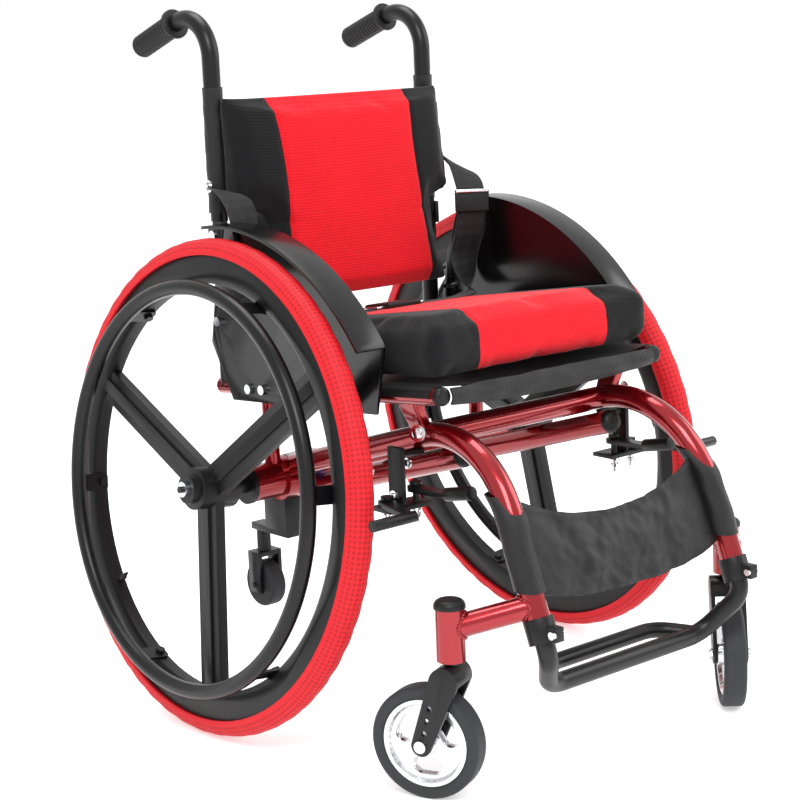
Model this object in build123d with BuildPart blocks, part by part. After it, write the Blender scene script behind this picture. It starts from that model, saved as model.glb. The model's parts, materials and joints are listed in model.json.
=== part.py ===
"""Manual wheelchair with a rigid double-rail frame, cambered three-spoke wheels and a folding backrest.

Millimetres, +Z up. The chair faces -Y, and the occupant's right is -X. The origin is on the floor under
the middle of the chair's length and width. Pairs are modelled on the right and mirrored to the left.
"""

from build123d import *
import math
import os

os.makedirs("parts", exist_ok=True)

# Layout
axle_y = 94
fit = 0.05
touch_gap = 0.4

# Rear wheels
wheel_radius = 305
tyre_thickness = 34.4
rim_seat_radius = 284
rim_inner_radius = 250
rim_width = 26
camber = 6.57
wheel_offset = 270.3
spoke_count = 3
spoke_angle = 36
handrim_radius = 245.4
handrim_tube = 9.5
handrim_offset = 38.6
handrim_fixings = 6
fixing_angle = 7
axle_pin_radius = 6.3

# Frame tubes
main_radius = 14.3
main_bore = 11.1
thin_radius = 11
thin_bore = 8.8
axle_tube_radius = 23
axle_tube_bore = 20
axle_tube_half = 213
axle_tube_z = 296
side_tube_x = 148
leg_x = 163
lower_rail_x = 122
lower_rail_drop = 33
rail_x = 174
rail_front = 322
rail_rear = 97
rail_front_z = 440
rail_slope = 0.0823

# Casters
caster_x = 232
caster_ahead = 392
caster_radius = 65
caster_trail = 31
caster_width = 28
swivel_angles = {"right": 23.8, "left": 136.9}
housing_radius = 16.5
housing_bottom = 162
housing_top = 222
stem_radius = 6

# Seat and back
seat_half = 190
seat_front_ahead = 334
seat_rear_ahead = -8
seat_lift = 20
seat_top = 530
seat_slope = 0.13
guard_x = 193.5
guard_thickness = 4
hinge_z = 600
back_tube_y = axle_y + 85
back_half = 190


def ahead(distance):
    """The y of a point that far in front of the rear axle."""
    return axle_y - distance


def rail_height(distance):
    """Height of a seat rail's middle. The seat falls towards the back."""
    return rail_front_z - rail_slope * (rail_front - distance)


def seat_height(distance):
    """Height of the seat cushion's top."""
    return seat_top - seat_slope * (seat_front_ahead - distance)


def save(part, name):
    part.label = name
    export_step(part, f"parts/{name}.step")


def save_pair(part, name):
    """Write the right-hand piece and its mirror image on the left."""
    save(part, f"{name}_right")
    save(mirror(part, about=Plane.YZ), f"{name}_left")


def both_sides(*solids):
    """The right-hand solids and their mirror images as one node."""
    with BuildPart() as pair:
        for solid in solids:
            add(solid)
        mirror(about=Plane.YZ)
    return pair.part


def bent_tube(route, bends, radius, bore=0.0):
    """A round tube along straight runs joined by tangent arcs."""
    with BuildPart() as tube:
        with BuildLine() as path:
            FilletPolyline(*route, radius=bends)
        with BuildSketch(Plane(origin=path.line @ 0, z_dir=path.line % 0)):
            Circle(radius)
            if bore:
                Circle(bore, mode=Mode.SUBTRACT)
        sweep()
    return tube.part


def rod(start, end, radius, bore=0.0):
    """A straight round bar or tube between two points."""
    run = Vector(*end) - Vector(*start)
    with BuildPart() as bar:
        with BuildSketch(Plane(origin=start, z_dir=run)):
            Circle(radius)
            if bore:
                Circle(bore, mode=Mode.SUBTRACT)
        extrude(amount=run.length)
    return bar.part


def block(low, high):
    """A box between two opposite corners."""
    size = [b - a for a, b in zip(low, high)]
    with BuildPart() as made:
        with Locations(tuple((a + b) / 2 for a, b in zip(low, high))):
            Box(*size)
    return made.part


def joined(*solids):
    with BuildPart() as made:
        for solid in solids:
            add(solid)
    return made.part


def less(solid, *cutters):
    with BuildPart() as made:
        add(solid)
        for cutter in cutters:
            add(cutter, mode=Mode.SUBTRACT)
    return made.part


# Side tubes: a long rise from the axle, a broad bend over the knees and a leg down to the footrest.
leg_slope = 0.379
knee_ahead = 380
knee_z = 416
knee_bend = 132
leg_top_z = 280
leg_bottom_z = 185
rise_start_z = 308


def leg_ahead(z):
    """How far the leg's centre line stands in front of the axle at a height."""
    return knee_ahead + leg_slope * (knee_z - z)


side_route = [
    (-side_tube_x, ahead(0), rise_start_z),
    (-side_tube_x, ahead(knee_ahead), knee_z),
    (-leg_x, ahead(leg_ahead(leg_top_z)), leg_top_z),
    (-leg_x, ahead(leg_ahead(leg_bottom_z)), leg_bottom_z),
]
side_bends = [knee_bend, 150]
side_solid = bent_tube(side_route, side_bends, main_radius)
axle_start = (-axle_tube_half, axle_y, axle_tube_z)
axle_end = (axle_tube_half, axle_y, axle_tube_z)
axle_solid = rod(axle_start, axle_end, axle_tube_radius)

# Axle tube with the two clamps that hold the side tubes and the lower rails to it.
clamp_wall = 5
clamp_inner_x = 104
clamp_outer_x = 168
clamp_start = (-clamp_outer_x, axle_y, axle_tube_z)
clamp_end = (-clamp_inner_x, axle_y, axle_tube_z)
clamp_solid = rod(clamp_start, clamp_end, axle_tube_radius + clamp_wall)
clamp_ring = rod(clamp_start, clamp_end, axle_tube_radius + clamp_wall, axle_tube_radius)
save(both_sides(clamp_ring), "axle_clamps")

side_tube = less(bent_tube(side_route, side_bends, main_radius, main_bore), clamp_solid)
side_tube = side_tube.solids().sort_by(SortBy.VOLUME)[-1]
save_pair(Part(side_tube.wrapped), "side_tube")

with BuildPart() as axle_tube:
    with BuildSketch(Plane.YZ.offset(-axle_tube_half)):
        with Locations((axle_y, axle_tube_z)):
            Circle(axle_tube_radius)
            Circle(axle_tube_bore, mode=Mode.SUBTRACT)
    extrude(amount=2 * axle_tube_half)
save(axle_tube.part, "axle_tube")


def rise_z(distance):
    """Height of the side tube's rise at a distance in front of the axle."""
    return rise_start_z + (knee_z - rise_start_z) / knee_ahead * distance


# Two cross tubes between the rises.
cross_tubes = []
for distance, radius in ((262, main_radius), (150, thin_radius)):
    z = rise_z(distance)
    bar = rod((-side_tube_x, ahead(distance), z), (side_tube_x, ahead(distance), z), radius)
    bar = less(bar, side_solid, mirror(side_solid, about=Plane.YZ))
    cross_tubes.append(bar.solids().sort_by(SortBy.VOLUME)[-1])
save(joined(*cross_tubes), "cross_tubes")

# Lower rails run under the rises and carry the brakes. Their front ends have rounded caps.
lower_front = 300
lower_start = (-lower_rail_x, ahead(0), rise_z(0) - lower_rail_drop)
lower_end = (-lower_rail_x, ahead(lower_front), rise_z(lower_front) - lower_rail_drop)
lower_rail = less(rod(lower_start, lower_end, main_radius), clamp_solid)
lower_rail = lower_rail.solids().sort_by(SortBy.VOLUME)[-1]
save(both_sides(lower_rail), "lower_rails")

with BuildPart() as lower_cap:
    with BuildSketch(Plane(origin=lower_end, z_dir=Vector(*lower_end) - Vector(*lower_start))):
        Circle(main_radius)
    extrude(amount=11)
    fillet(lower_cap.faces().sort_by(Axis.Y)[0].edges(), 9)

# Seat rails and the end caps on their fronts.
rail_start = (-rail_x, ahead(rail_front), rail_front_z)
rail_end = (-rail_x, ahead(-rail_rear), rail_height(-rail_rear))
rail_solid = rod(rail_start, rail_end, thin_radius)
save(both_sides(rail_solid), "seat_rails")

with BuildPart() as rail_cap:
    with BuildSketch(Plane(origin=rail_start, z_dir=Vector(*rail_start) - Vector(*rail_end))):
        Circle(thin_radius)
    extrude(amount=10)
    fillet(rail_cap.faces().sort_by(Axis.Y)[0].edges(), 5)
save(both_sides(lower_cap.part, rail_cap.part), "tube_caps")

# Front posts flare up from the rises to the rails, and rear posts stand on the axle tube.
post_ahead = 266
with BuildPart() as front_post:
    with BuildSketch(Plane.XY.offset(rise_z(post_ahead))):
        with Locations((-side_tube_x - 2, ahead(post_ahead))):
            RectangleRounded(16, 24, 4)
    with BuildSketch(Plane.XY.offset(rail_height(post_ahead))):
        with Locations((-rail_x, ahead(post_ahead))):
            RectangleRounded(16, 34, 4)
    loft()
    add(side_solid, mode=Mode.SUBTRACT)
    add(rail_solid, mode=Mode.SUBTRACT)
front_post = front_post.part.solids().sort_by(SortBy.VOLUME)[-1]

guard_tab_x = 189
guard_tab_inner_x = -rail_x - 4
guard_tab_half = 26
guard_tab_z = 402
guard_tab_height = 21
post_radius = 10
rear_post = joined(
    rod((-rail_x, axle_y, axle_tube_z), (-rail_x, axle_y, rail_height(0)), post_radius),
    block(
        (-guard_tab_x, axle_y - guard_tab_half, guard_tab_z),
        (guard_tab_inner_x, axle_y + guard_tab_half, guard_tab_z + guard_tab_height),
    ),
)
rear_post = less(rear_post, axle_solid, clamp_solid, rail_solid)
rear_post = rear_post.solids().sort_by(SortBy.VOLUME)[-1]
save(both_sides(front_post, rear_post), "seat_posts")

# Wheel planes: the face plane looks outboard with x forward, and the section plane holds the axle.
lean = math.radians(camber)
hub_z = (wheel_radius - tyre_thickness / 2) * math.cos(lean) + tyre_thickness / 2
hub = Vector(-wheel_offset, axle_y, hub_z)
outboard = Vector(-math.cos(lean), 0, math.sin(lean))
wheel_face = Plane(origin=hub, x_dir=(0, -1, 0), z_dir=outboard)
wheel_section = Plane(origin=hub, x_dir=(math.sin(lean), 0, math.cos(lean)), z_dir=(0, -1, 0))
spin_axis = Axis(hub, outboard)


def along_axle(distance):
    """A point on the wheel's axle, measured outboard from the wheel's middle."""
    return tuple(hub + outboard * distance)


# Axle receivers close the axle tube and hold the quick-release pins.
flange_thickness = 6
hub_inboard = -28
hub_outboard = 36
pin_inboard = -104
receiver = joined(
    rod((-axle_tube_half, axle_y, axle_tube_z), (-150, axle_y, axle_tube_z), axle_tube_bore),
    rod(
        (-axle_tube_half - flange_thickness, axle_y, axle_tube_z),
        (-axle_tube_half, axle_y, axle_tube_z),
        axle_tube_radius + 1,
    ),
    rod(along_axle(-62), along_axle(hub_inboard - touch_gap), 11),
)
pin_bore = rod(along_axle(pin_inboard - 2), along_axle(0), axle_pin_radius)
save(both_sides(less(receiver, pin_bore)), "axle_receivers")

# Quick-release axle pins, each with a head outside the hub and a push button in the head.
head_start = hub_outboard + touch_gap
head_end = head_start + 6
button_radius = 4
button_depth = 18
pin = joined(
    rod(along_axle(pin_inboard), along_axle(head_start), axle_pin_radius),
    rod(along_axle(head_start), along_axle(head_end), 9.5),
)
button_bore = rod(along_axle(head_end - button_depth), along_axle(head_end + 1), button_radius + fit)
save(both_sides(less(pin, button_bore)), "axle_pins")
save_pair(rod(along_axle(head_end - 12), along_axle(head_end + 4), button_radius), "release_button")

# Rear wheel: tyre on a deep rim, three flat spokes with a rib, and a stepped hub.
with BuildPart() as tyre:
    with BuildSketch(wheel_section):
        with Locations((wheel_radius - tyre_thickness / 2, 0)):
            Circle(tyre_thickness / 2)
        with Locations((rim_seat_radius, 0)):
            cut = 2 * tyre_thickness
            Rectangle(cut, cut, align=(Align.MAX, Align.CENTER), mode=Mode.SUBTRACT)
    revolve(axis=spin_axis)
save_pair(tyre.part, "tyre")

spoke_width = 40
spoke_thickness = 13
rib_width = 15
rib_thickness = 20
hub_radius = 26
bearing_radius = 14
bearing_width = 9
fixing_hole = 3
fixing_offset = 1
fixing_turns = [math.radians(fixing_angle + 360 / handrim_fixings * step) for step in range(handrim_fixings)]


def on_wheel(radius, turn, offset=fixing_offset):
    """A point at a radius and turn from the hub, and an offset outboard from the wheel's middle."""
    spoke = wheel_face.x_dir * math.cos(turn) + wheel_face.y_dir * math.sin(turn)
    return tuple(hub + spoke * radius + outboard * offset)


with BuildPart() as wheel_rim:
    with BuildSketch(wheel_section):
        with BuildLine():
            Polyline(
                (rim_inner_radius, -8),
                (rim_inner_radius, 8),
                (rim_inner_radius + 8, rim_width / 2),
                (rim_seat_radius, rim_width / 2),
                (rim_seat_radius, -rim_width / 2),
                (rim_inner_radius + 8, -rim_width / 2),
                close=True,
            )
        make_face()
    revolve(axis=spin_axis)
    for width, thickness in ((spoke_width, spoke_thickness), (rib_width, rib_thickness)):
        with BuildSketch(wheel_face.offset(-thickness / 2)):
            with PolarLocations(rim_inner_radius / 2, spoke_count, start_angle=spoke_angle):
                Rectangle(rim_inner_radius + 6, width)
        extrude(amount=thickness)
    with BuildSketch(wheel_face.offset(hub_inboard)):
        Circle(hub_radius)
    extrude(amount=hub_outboard - 10 - hub_inboard)
    with BuildSketch(wheel_face.offset(hub_outboard - 10)):
        Circle(hub_radius - 8)
    extrude(amount=10)
    with BuildSketch(wheel_face.offset(hub_inboard)):
        Circle(axle_pin_radius + 3)
    extrude(amount=hub_outboard - hub_inboard, mode=Mode.SUBTRACT)
    for start in (hub_inboard, hub_outboard - bearing_width):
        with BuildSketch(wheel_face.offset(start)):
            Circle(bearing_radius)
        extrude(amount=bearing_width, mode=Mode.SUBTRACT)
screw_depth = 13
screw_lead = 4
screw_seats = []
for turn in fixing_turns:
    seat_start = on_wheel(rim_inner_radius - screw_lead, turn)
    seat_end = on_wheel(rim_inner_radius + screw_depth, turn)
    screw_seats.append(rod(seat_start, seat_end, fixing_hole))
save_pair(less(wheel_rim.part, *screw_seats), "wheel_rim")

with BuildPart() as hub_bearings:
    for start in (hub_inboard, hub_outboard - bearing_width):
        with BuildSketch(wheel_face.offset(start)):
            Circle(bearing_radius)
            Circle(axle_pin_radius + fit, mode=Mode.SUBTRACT)
        extrude(amount=bearing_width)
save_pair(hub_bearings.part, "hub_bearings")

# Push rim: a round tube on six welded tabs, each screwed to the inner face of the wheel rim.
tab_thickness = 3
tab_width = 22
tab_inboard = -7
tab_radius = rim_inner_radius - touch_gap - tab_thickness
with BuildPart() as handrim:
    with BuildSketch(wheel_section):
        with Locations((handrim_radius, handrim_offset)):
            Circle(handrim_tube)
    revolve(axis=spin_axis)
    for turn in fixing_turns:
        radial = Vector(*on_wheel(1, turn)) - Vector(*on_wheel(0, turn))
        tab_middle = on_wheel(tab_radius, turn, (tab_inboard + handrim_offset) / 2)
        with BuildSketch(Plane(origin=tab_middle, x_dir=outboard, z_dir=radial)):
            RectangleRounded(handrim_offset - tab_inboard, tab_width, 5)
        extrude(amount=tab_thickness)
save_pair(less(handrim.part, *screw_seats), "handrim")

screw_head = 4
screw_head_radius = 5.5
screws = []
for turn in fixing_turns:
    shank_start = on_wheel(tab_radius, turn)
    shank_end = on_wheel(rim_inner_radius + screw_depth, turn)
    screws.append(rod(shank_start, shank_end, fixing_hole))
    screws.append(rod(on_wheel(tab_radius - screw_head, turn), shank_start, screw_head_radius))
save_pair(joined(*screws), "handrim_screws")

# Caster arms reach out from the legs to the upright housings of the swivels.
arm_z = 221
arm_end_z = 198
bearing_seat = 12.5
bearing_height = 8
arm = joined(
    rod((-leg_x, ahead(leg_ahead(arm_z)), arm_z), (-caster_x, ahead(caster_ahead), arm_end_z), 13.5),
    rod(
        (-caster_x, ahead(caster_ahead), housing_bottom),
        (-caster_x, ahead(caster_ahead), housing_top),
        housing_radius,
    ),
)
seats = [(housing_bottom, housing_bottom + bearing_height, bearing_seat)]
seats.append((housing_bottom, housing_top, bearing_seat - 3))
seats.append((housing_top - 2 * bearing_height, housing_top, bearing_seat))
bores = []
for low, high, radius in seats:
    bores.append(rod((-caster_x, ahead(caster_ahead), low), (-caster_x, ahead(caster_ahead), high), radius))
caster_arm = less(arm, side_solid, *bores).solids().sort_by(SortBy.VOLUME)[-1]
save_pair(Part(caster_arm.wrapped), "caster_arm")

with BuildPart() as caster_bearings:
    for low in (housing_bottom, housing_top - 2 * bearing_height):
        with BuildSketch(Plane.XY.offset(low)):
            with Locations((-caster_x, ahead(caster_ahead))):
                Circle(bearing_seat)
                Circle(stem_radius + fit, mode=Mode.SUBTRACT)
        extrude(amount=bearing_height)
save(both_sides(caster_bearings.part), "caster_bearings")

with BuildPart() as housing_cap:
    with BuildSketch(Plane.XY.offset(housing_top)):
        with Locations((-caster_x, ahead(caster_ahead))):
            Circle(housing_radius + 1.5)
    extrude(amount=10)
    fillet(housing_cap.faces().sort_by(Axis.Z)[-1].edges(), 8)
save(both_sides(housing_cap.part), "housing_caps")


# Swivelling forks and wheels. Each has its own swivel angle, so they aren't mirrored.
fork_gap = 33
plate_thickness = 5
crown_bottom = 136
crown_top = 158
caster_axle_radius = 4
caster_rim_radius = 51


def caster(side, sign):
    angle = math.radians(swivel_angles[side])
    steer = Vector(sign * caster_x, ahead(caster_ahead), 0)
    across = Vector(math.cos(angle), math.sin(angle), 0)
    rearward = Vector(-math.sin(angle), math.cos(angle), 0)
    middle = steer + rearward * caster_trail + Vector(0, 0, caster_radius)
    fork_plane = Plane(origin=steer, x_dir=rearward, z_dir=across)
    hub_plane = Plane(origin=middle, x_dir=rearward, z_dir=across)
    section = Plane(origin=middle, x_dir=(0, 0, 1), z_dir=rearward)
    axis = Axis(middle, across)
    fork_half = fork_gap / 2 + plate_thickness
    adjust_holes = [(caster_trail - 4 * step, caster_radius + 15 * step) for step in (1, 2, 3)]

    with BuildPart() as fork:
        with BuildSketch(fork_plane.offset(-fork_half)):
            with Locations((2, crown_bottom + 5)):
                Circle(17)
            with Locations((caster_trail, caster_radius)):
                Circle(12)
            make_hull()
            with Locations(*adjust_holes):
                Circle(3.2, mode=Mode.SUBTRACT)
        extrude(amount=2 * fork_half)
        with BuildSketch(fork_plane.offset(-fork_gap / 2)):
            with Locations((0, crown_bottom)):
                Rectangle(200, 200, align=(Align.CENTER, Align.MAX))
        extrude(amount=fork_gap, mode=Mode.SUBTRACT)
        with BuildSketch(Plane.XY.offset(crown_bottom)):
            with Locations((steer.X, steer.Y)):
                Circle(stem_radius)
        extrude(amount=housing_top - 2 - crown_bottom)
        with BuildSketch(Plane.XY.offset(crown_top)):
            with Locations((steer.X, steer.Y)):
                Circle(stem_radius + 3)
        extrude(amount=housing_bottom - crown_top - touch_gap)
        with BuildSketch(Plane.XY.offset(housing_top - bearing_height + touch_gap)):
            with Locations((steer.X, steer.Y)):
                RegularPolygon(8, 6)
        extrude(amount=5)
        with BuildSketch(hub_plane.offset(-fork_half)):
            Circle(caster_axle_radius)
        extrude(amount=2 * fork_half, mode=Mode.SUBTRACT)
    save(fork.part, f"caster_fork_{side}")

    with BuildPart() as caster_axle:
        with BuildSketch(hub_plane.offset(-fork_half)):
            Circle(caster_axle_radius)
        extrude(amount=2 * fork_half)
        with BuildSketch(hub_plane.offset(-fork_half - 4)):
            Circle(7)
        extrude(amount=4)
        with BuildSketch(hub_plane.offset(fork_half)):
            RegularPolygon(7, 6)
        extrude(amount=5)
    save(caster_axle.part, f"caster_axle_{side}")

    with BuildPart() as caster_hub:
        with BuildSketch(section):
            with BuildLine():
                Polyline(
                    (caster_axle_radius + fit, -fork_gap / 2 + touch_gap),
                    (13, -fork_gap / 2 + touch_gap),
                    (14, -6),
                    (43, -6),
                    (46, -caster_width / 2 + 2),
                    (caster_rim_radius, -caster_width / 2 + 2),
                    (caster_rim_radius, caster_width / 2 - 2),
                    (46, caster_width / 2 - 2),
                    (43, 6),
                    (14, 6),
                    (13, fork_gap / 2 - touch_gap),
                    (caster_axle_radius + fit, fork_gap / 2 - touch_gap),
                    close=True,
                )
            make_face()
        revolve(axis=axis)
        with BuildSketch(hub_plane.offset(-caster_width / 2)):
            with PolarLocations(28, 3, start_angle=30):
                SlotOverall(36, 20, rotation=90)
        extrude(amount=caster_width, mode=Mode.SUBTRACT)
    save(caster_hub.part, f"caster_hub_{side}")

    with BuildPart() as caster_tyre:
        with BuildSketch(section):
            with Locations(((caster_rim_radius + caster_radius) / 2, 0)):
                RectangleRounded(caster_radius - caster_rim_radius, caster_width, 5)
        revolve(axis=axis)
    save(caster_tyre.part, f"caster_tyre_{side}")


caster("right", -1)
caster("left", 1)

# Leg clamps grip the footrest tube where it leaves the legs, each closed by a cross screw.
clamp_top_z = 208
clamp_low_z = 182
leg_axis_x = -leg_x
clamp_body = rod(
    (leg_axis_x, ahead(leg_ahead(clamp_top_z)), clamp_top_z),
    (leg_axis_x, ahead(leg_ahead(clamp_low_z)), clamp_low_z),
    main_radius + 3,
)
clamp_ear = block(
    (leg_axis_x - 6, ahead(leg_ahead(clamp_low_z) + 24), clamp_low_z + 6),
    (leg_axis_x + 6, ahead(leg_ahead(clamp_low_z) + 10), clamp_low_z + 22),
)
screw_y = ahead(leg_ahead(clamp_low_z) + 20)
screw_z = clamp_low_z + 14
screw_hole = rod((leg_axis_x - 30, screw_y, screw_z), (leg_axis_x + 30, screw_y, screw_z), 2)
leg_clamp = less(joined(clamp_body, clamp_ear), side_solid, screw_hole)
footrest_bore = rod(
    (leg_axis_x, ahead(leg_ahead(clamp_top_z)), clamp_top_z),
    (leg_axis_x, ahead(leg_ahead(clamp_low_z - 20)), clamp_low_z - 20),
    thin_radius + 0.1,
)
leg_clamp = less(leg_clamp, footrest_bore).solids().sort_by(SortBy.VOLUME)[-1]
save(both_sides(leg_clamp), "leg_clamps")

clamp_screw = joined(
    rod((leg_axis_x - 6, screw_y, screw_z), (leg_axis_x + 6, screw_y, screw_z), 2),
    rod((leg_axis_x - 10, screw_y, screw_z), (leg_axis_x - 6, screw_y, screw_z), 4.5),
    rod((leg_axis_x + 6, screw_y, screw_z), (leg_axis_x + 9, screw_y, screw_z), 4),
)

# Footrest: one tube down out of both legs and across, with a second bar bowed back behind it.
foot_exit_z = 166
foot_bar_half = 128
foot_bar_ahead = 437
foot_bar_z = 116
foot_top_z = 262
rear_bar_half = 92
rear_bar_ahead = 396
foot_route = []
for sign in (-1, 1):
    half = [
        (sign * leg_x, ahead(leg_ahead(foot_top_z)), foot_top_z),
        (sign * leg_x, ahead(leg_ahead(foot_exit_z)), foot_exit_z),
        (sign * foot_bar_half, ahead(foot_bar_ahead), foot_bar_z),
    ]
    foot_route += half if sign < 0 else half[::-1]
front_bar = bent_tube(foot_route, [28, 38, 38, 28], thin_radius, thin_bore)
rear_route = [
    (-foot_bar_half + 6, ahead(foot_bar_ahead + 3), foot_bar_z + 2),
    (-rear_bar_half, ahead(rear_bar_ahead), foot_bar_z + 6),
    (rear_bar_half, ahead(rear_bar_ahead), foot_bar_z + 6),
    (foot_bar_half - 6, ahead(foot_bar_ahead + 3), foot_bar_z + 2),
]
rear_bar = bent_tube(rear_route, [40, 40], thin_radius - 1.5)
front_solid = bent_tube(foot_route, [28, 38, 38, 28], thin_radius)
save(joined(front_bar, less(rear_bar, front_solid)), "footrest_bar")

# Calf strap: two sleeves round the legs and the panel that hangs between them.
strap_top_z = 338
strap_low_z = 236
panel_top_z = 302
panel_low_z = 214
strap_sleeve = bent_tube(side_route, side_bends, main_radius + 2.8, main_radius + 0.4)
strap_window = block((-250, ahead(520), strap_low_z), (250, ahead(330), strap_top_z))
with BuildPart() as strap_panel:
    with BuildSketch(Plane.YZ.offset(-leg_x + 14)):
        with BuildLine():
            Polyline(
                (ahead(leg_ahead(panel_low_z)), panel_low_z),
                (ahead(leg_ahead(panel_top_z) - 2), panel_top_z),
                (ahead(leg_ahead(panel_top_z) - 6), panel_top_z),
                (ahead(leg_ahead(panel_low_z) - 4), panel_low_z),
                close=True,
            )
        make_face()
    extrude(amount=2 * leg_x - 28)
with BuildPart() as calf_strap:
    add(strap_sleeve)
    mirror(about=Plane.YZ)
    add(strap_window, mode=Mode.INTERSECT)
    add(strap_panel.part)
save(less(calf_strap.part, side_solid, mirror(side_solid, about=Plane.YZ)), "calf_strap")

# Sling across the rails and the cushion on it. Sewn seams part the cushion's top into panels, and the belt
# lies in a shallow dip.
sling_front = seat_front_ahead - 16
sling_thickness = 5
sling_lift = thin_radius + touch_gap
sling_half = rail_x + 9


def slab(half_width, *corners):
    """A solid of constant section across the chair, from its corners as distances ahead and heights."""
    with BuildPart() as made:
        with BuildSketch(Plane.YZ.offset(-half_width)):
            with BuildLine():
                Polyline(*[(ahead(distance), z) for distance, z in corners], close=True)
            make_face()
        extrude(amount=2 * half_width)
    return made.part


seat_sling = slab(
    sling_half,
    (sling_front, rail_height(sling_front) + sling_lift),
    (sling_front, rail_height(sling_front) + sling_lift + sling_thickness),
    (seat_rear_ahead, rail_height(seat_rear_ahead) + sling_lift + sling_thickness),
    (seat_rear_ahead, rail_height(seat_rear_ahead) + sling_lift),
)
save(seat_sling, "seat_sling")

panel_half = 104
seam_width = 3
seam_depth = 2
belt_ahead = 64
dip_half = 28
dip_depth = 1
with BuildPart() as seat_cushion:
    add(
        slab(
            seat_half,
            (seat_front_ahead, rail_height(seat_front_ahead) + seat_lift),
            (seat_front_ahead, seat_height(seat_front_ahead)),
            (seat_rear_ahead, seat_height(seat_rear_ahead)),
            (seat_rear_ahead, rail_height(seat_rear_ahead) + seat_lift),
        )
    )
    fillet(seat_cushion.edges().filter_by(Axis.Z), 15)
    fillet(seat_cushion.faces().sort_by(Axis.Z)[-1].edges(), 14)
    fillet(seat_cushion.faces().filter_by(GeomType.PLANE).sort_by(Axis.Z)[0].edges(), 8)
cushion_body = seat_cushion.part
for x in (-panel_half, panel_half):
    seam = slab(
        seam_width / 2,
        (seat_front_ahead + 20, seat_height(seat_front_ahead + 20) - seam_depth),
        (seat_front_ahead + 20, seat_height(seat_front_ahead + 20) + 20),
        (seat_rear_ahead - 20, seat_height(seat_rear_ahead - 20) + 20),
        (seat_rear_ahead - 20, seat_height(seat_rear_ahead - 20) - seam_depth),
    )
    cushion_body = less(cushion_body, Pos(x, 0, 0) * seam)
belt_dip = slab(
    seat_half + 10,
    (belt_ahead + dip_half, seat_height(belt_ahead + dip_half) - dip_depth),
    (belt_ahead + dip_half, seat_height(belt_ahead + dip_half) + 20),
    (belt_ahead - dip_half, seat_height(belt_ahead - dip_half) + 20),
    (belt_ahead - dip_half, seat_height(belt_ahead - dip_half) - dip_depth),
)
save(less(cushion_body, belt_dip), "seat_cushion")

# Side guards: a flat panel beside the seat with a lip curved over the tyre.
lip_radius = 314
lip_outer_x = 235
lip_front = 36.5
lip_rear = 97


def arch_arc(radius):
    """An arc over the wheel in the guard's plane, from the front to the back."""
    places = []
    for degrees in (lip_front, (lip_front + lip_rear) / 2, lip_rear):
        turn = math.radians(degrees)
        places.append((axle_y + radius * math.cos(turn + math.pi), hub_z + radius * math.sin(turn)))
    return ThreePointArc(*places)


with BuildPart() as side_guard:
    with BuildSketch(Plane.YZ.offset(-guard_x - guard_thickness)):
        with BuildLine():
            crest = arch_arc(lip_radius + guard_thickness)
            Polyline(
                crest @ 1,
                (ahead(-68), 544),
                (ahead(-84), 466),
                (ahead(-44), 396),
                (ahead(238), 412),
                crest @ 0,
            )
        make_face()
    extrude(amount=guard_thickness)
    with BuildSketch(Plane.YZ.offset(-lip_outer_x)):
        with BuildLine():
            lower = arch_arc(lip_radius)
            upper = arch_arc(lip_radius + guard_thickness)
            Line(lower @ 0, upper @ 0)
            Line(lower @ 1, upper @ 1)
        make_face()
    extrude(amount=lip_outer_x - guard_x)

rear_bolt_ahead = -66
bolt_places = [(rear_bolt_ahead, 494), (-8, 414), (20, 416)]
bolt_radius = 3
holes = []
bolts = []
for distance, z in bolt_places:
    y = ahead(distance)
    inner_x = -185 if distance == rear_bolt_ahead else -guard_tab_x + 8
    holes.append(rod((-guard_x - 8, y, z), (inner_x, y, z), bolt_radius))
    bolts.append(rod((-guard_x - guard_thickness, y, z), (inner_x, y, z), bolt_radius))
    bolts.append(rod((-guard_x - guard_thickness - 4, y, z), (-guard_x - guard_thickness, y, z), 6))
save_pair(less(side_guard.part, *holes), "side_guard")
guard_bolts = less(joined(*bolts), rear_post, rail_solid)
save(both_sides(guard_bolts, clamp_screw), "frame_screws")

# Upright stubs at the back of the rails end in clevises, and the backrest folds in them.
ear_half = 11
slot_half = 5.3
stub_top = 583
pivot_radius = 4
stub_foot = (-rail_x, back_tube_y, rail_height(axle_y - back_tube_y))
stub = joined(
    rod(stub_foot, (-rail_x, back_tube_y, stub_top), thin_radius),
    block(
        (-rail_x - ear_half, back_tube_y - ear_half, stub_top),
        (-rail_x + ear_half, back_tube_y + ear_half, hinge_z + 12),
    ),
)
slot = block(
    (-rail_x - slot_half, back_tube_y - 20, stub_top + 4),
    (-rail_x + slot_half, back_tube_y + 20, hinge_z + 20),
)
pivot_start = (-rail_x - ear_half, back_tube_y, hinge_z)
pivot_end = (-rail_x + ear_half, back_tube_y, hinge_z)
hinge_bore = rod(pivot_start, pivot_end, pivot_radius)
hinge_stub = less(stub, slot, hinge_bore, rail_solid).solids().sort_by(SortBy.VOLUME)[-1]
save(both_sides(hinge_stub), "hinge_stubs")

hinge_pin = joined(
    rod(pivot_start, pivot_end, pivot_radius),
    rod((-rail_x - ear_half - 3, back_tube_y, hinge_z), pivot_start, 6.5),
    rod(pivot_end, (-rail_x + ear_half + 3, back_tube_y, hinge_z), 6.5),
)
save(both_sides(hinge_pin), "hinge_pins")

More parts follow.
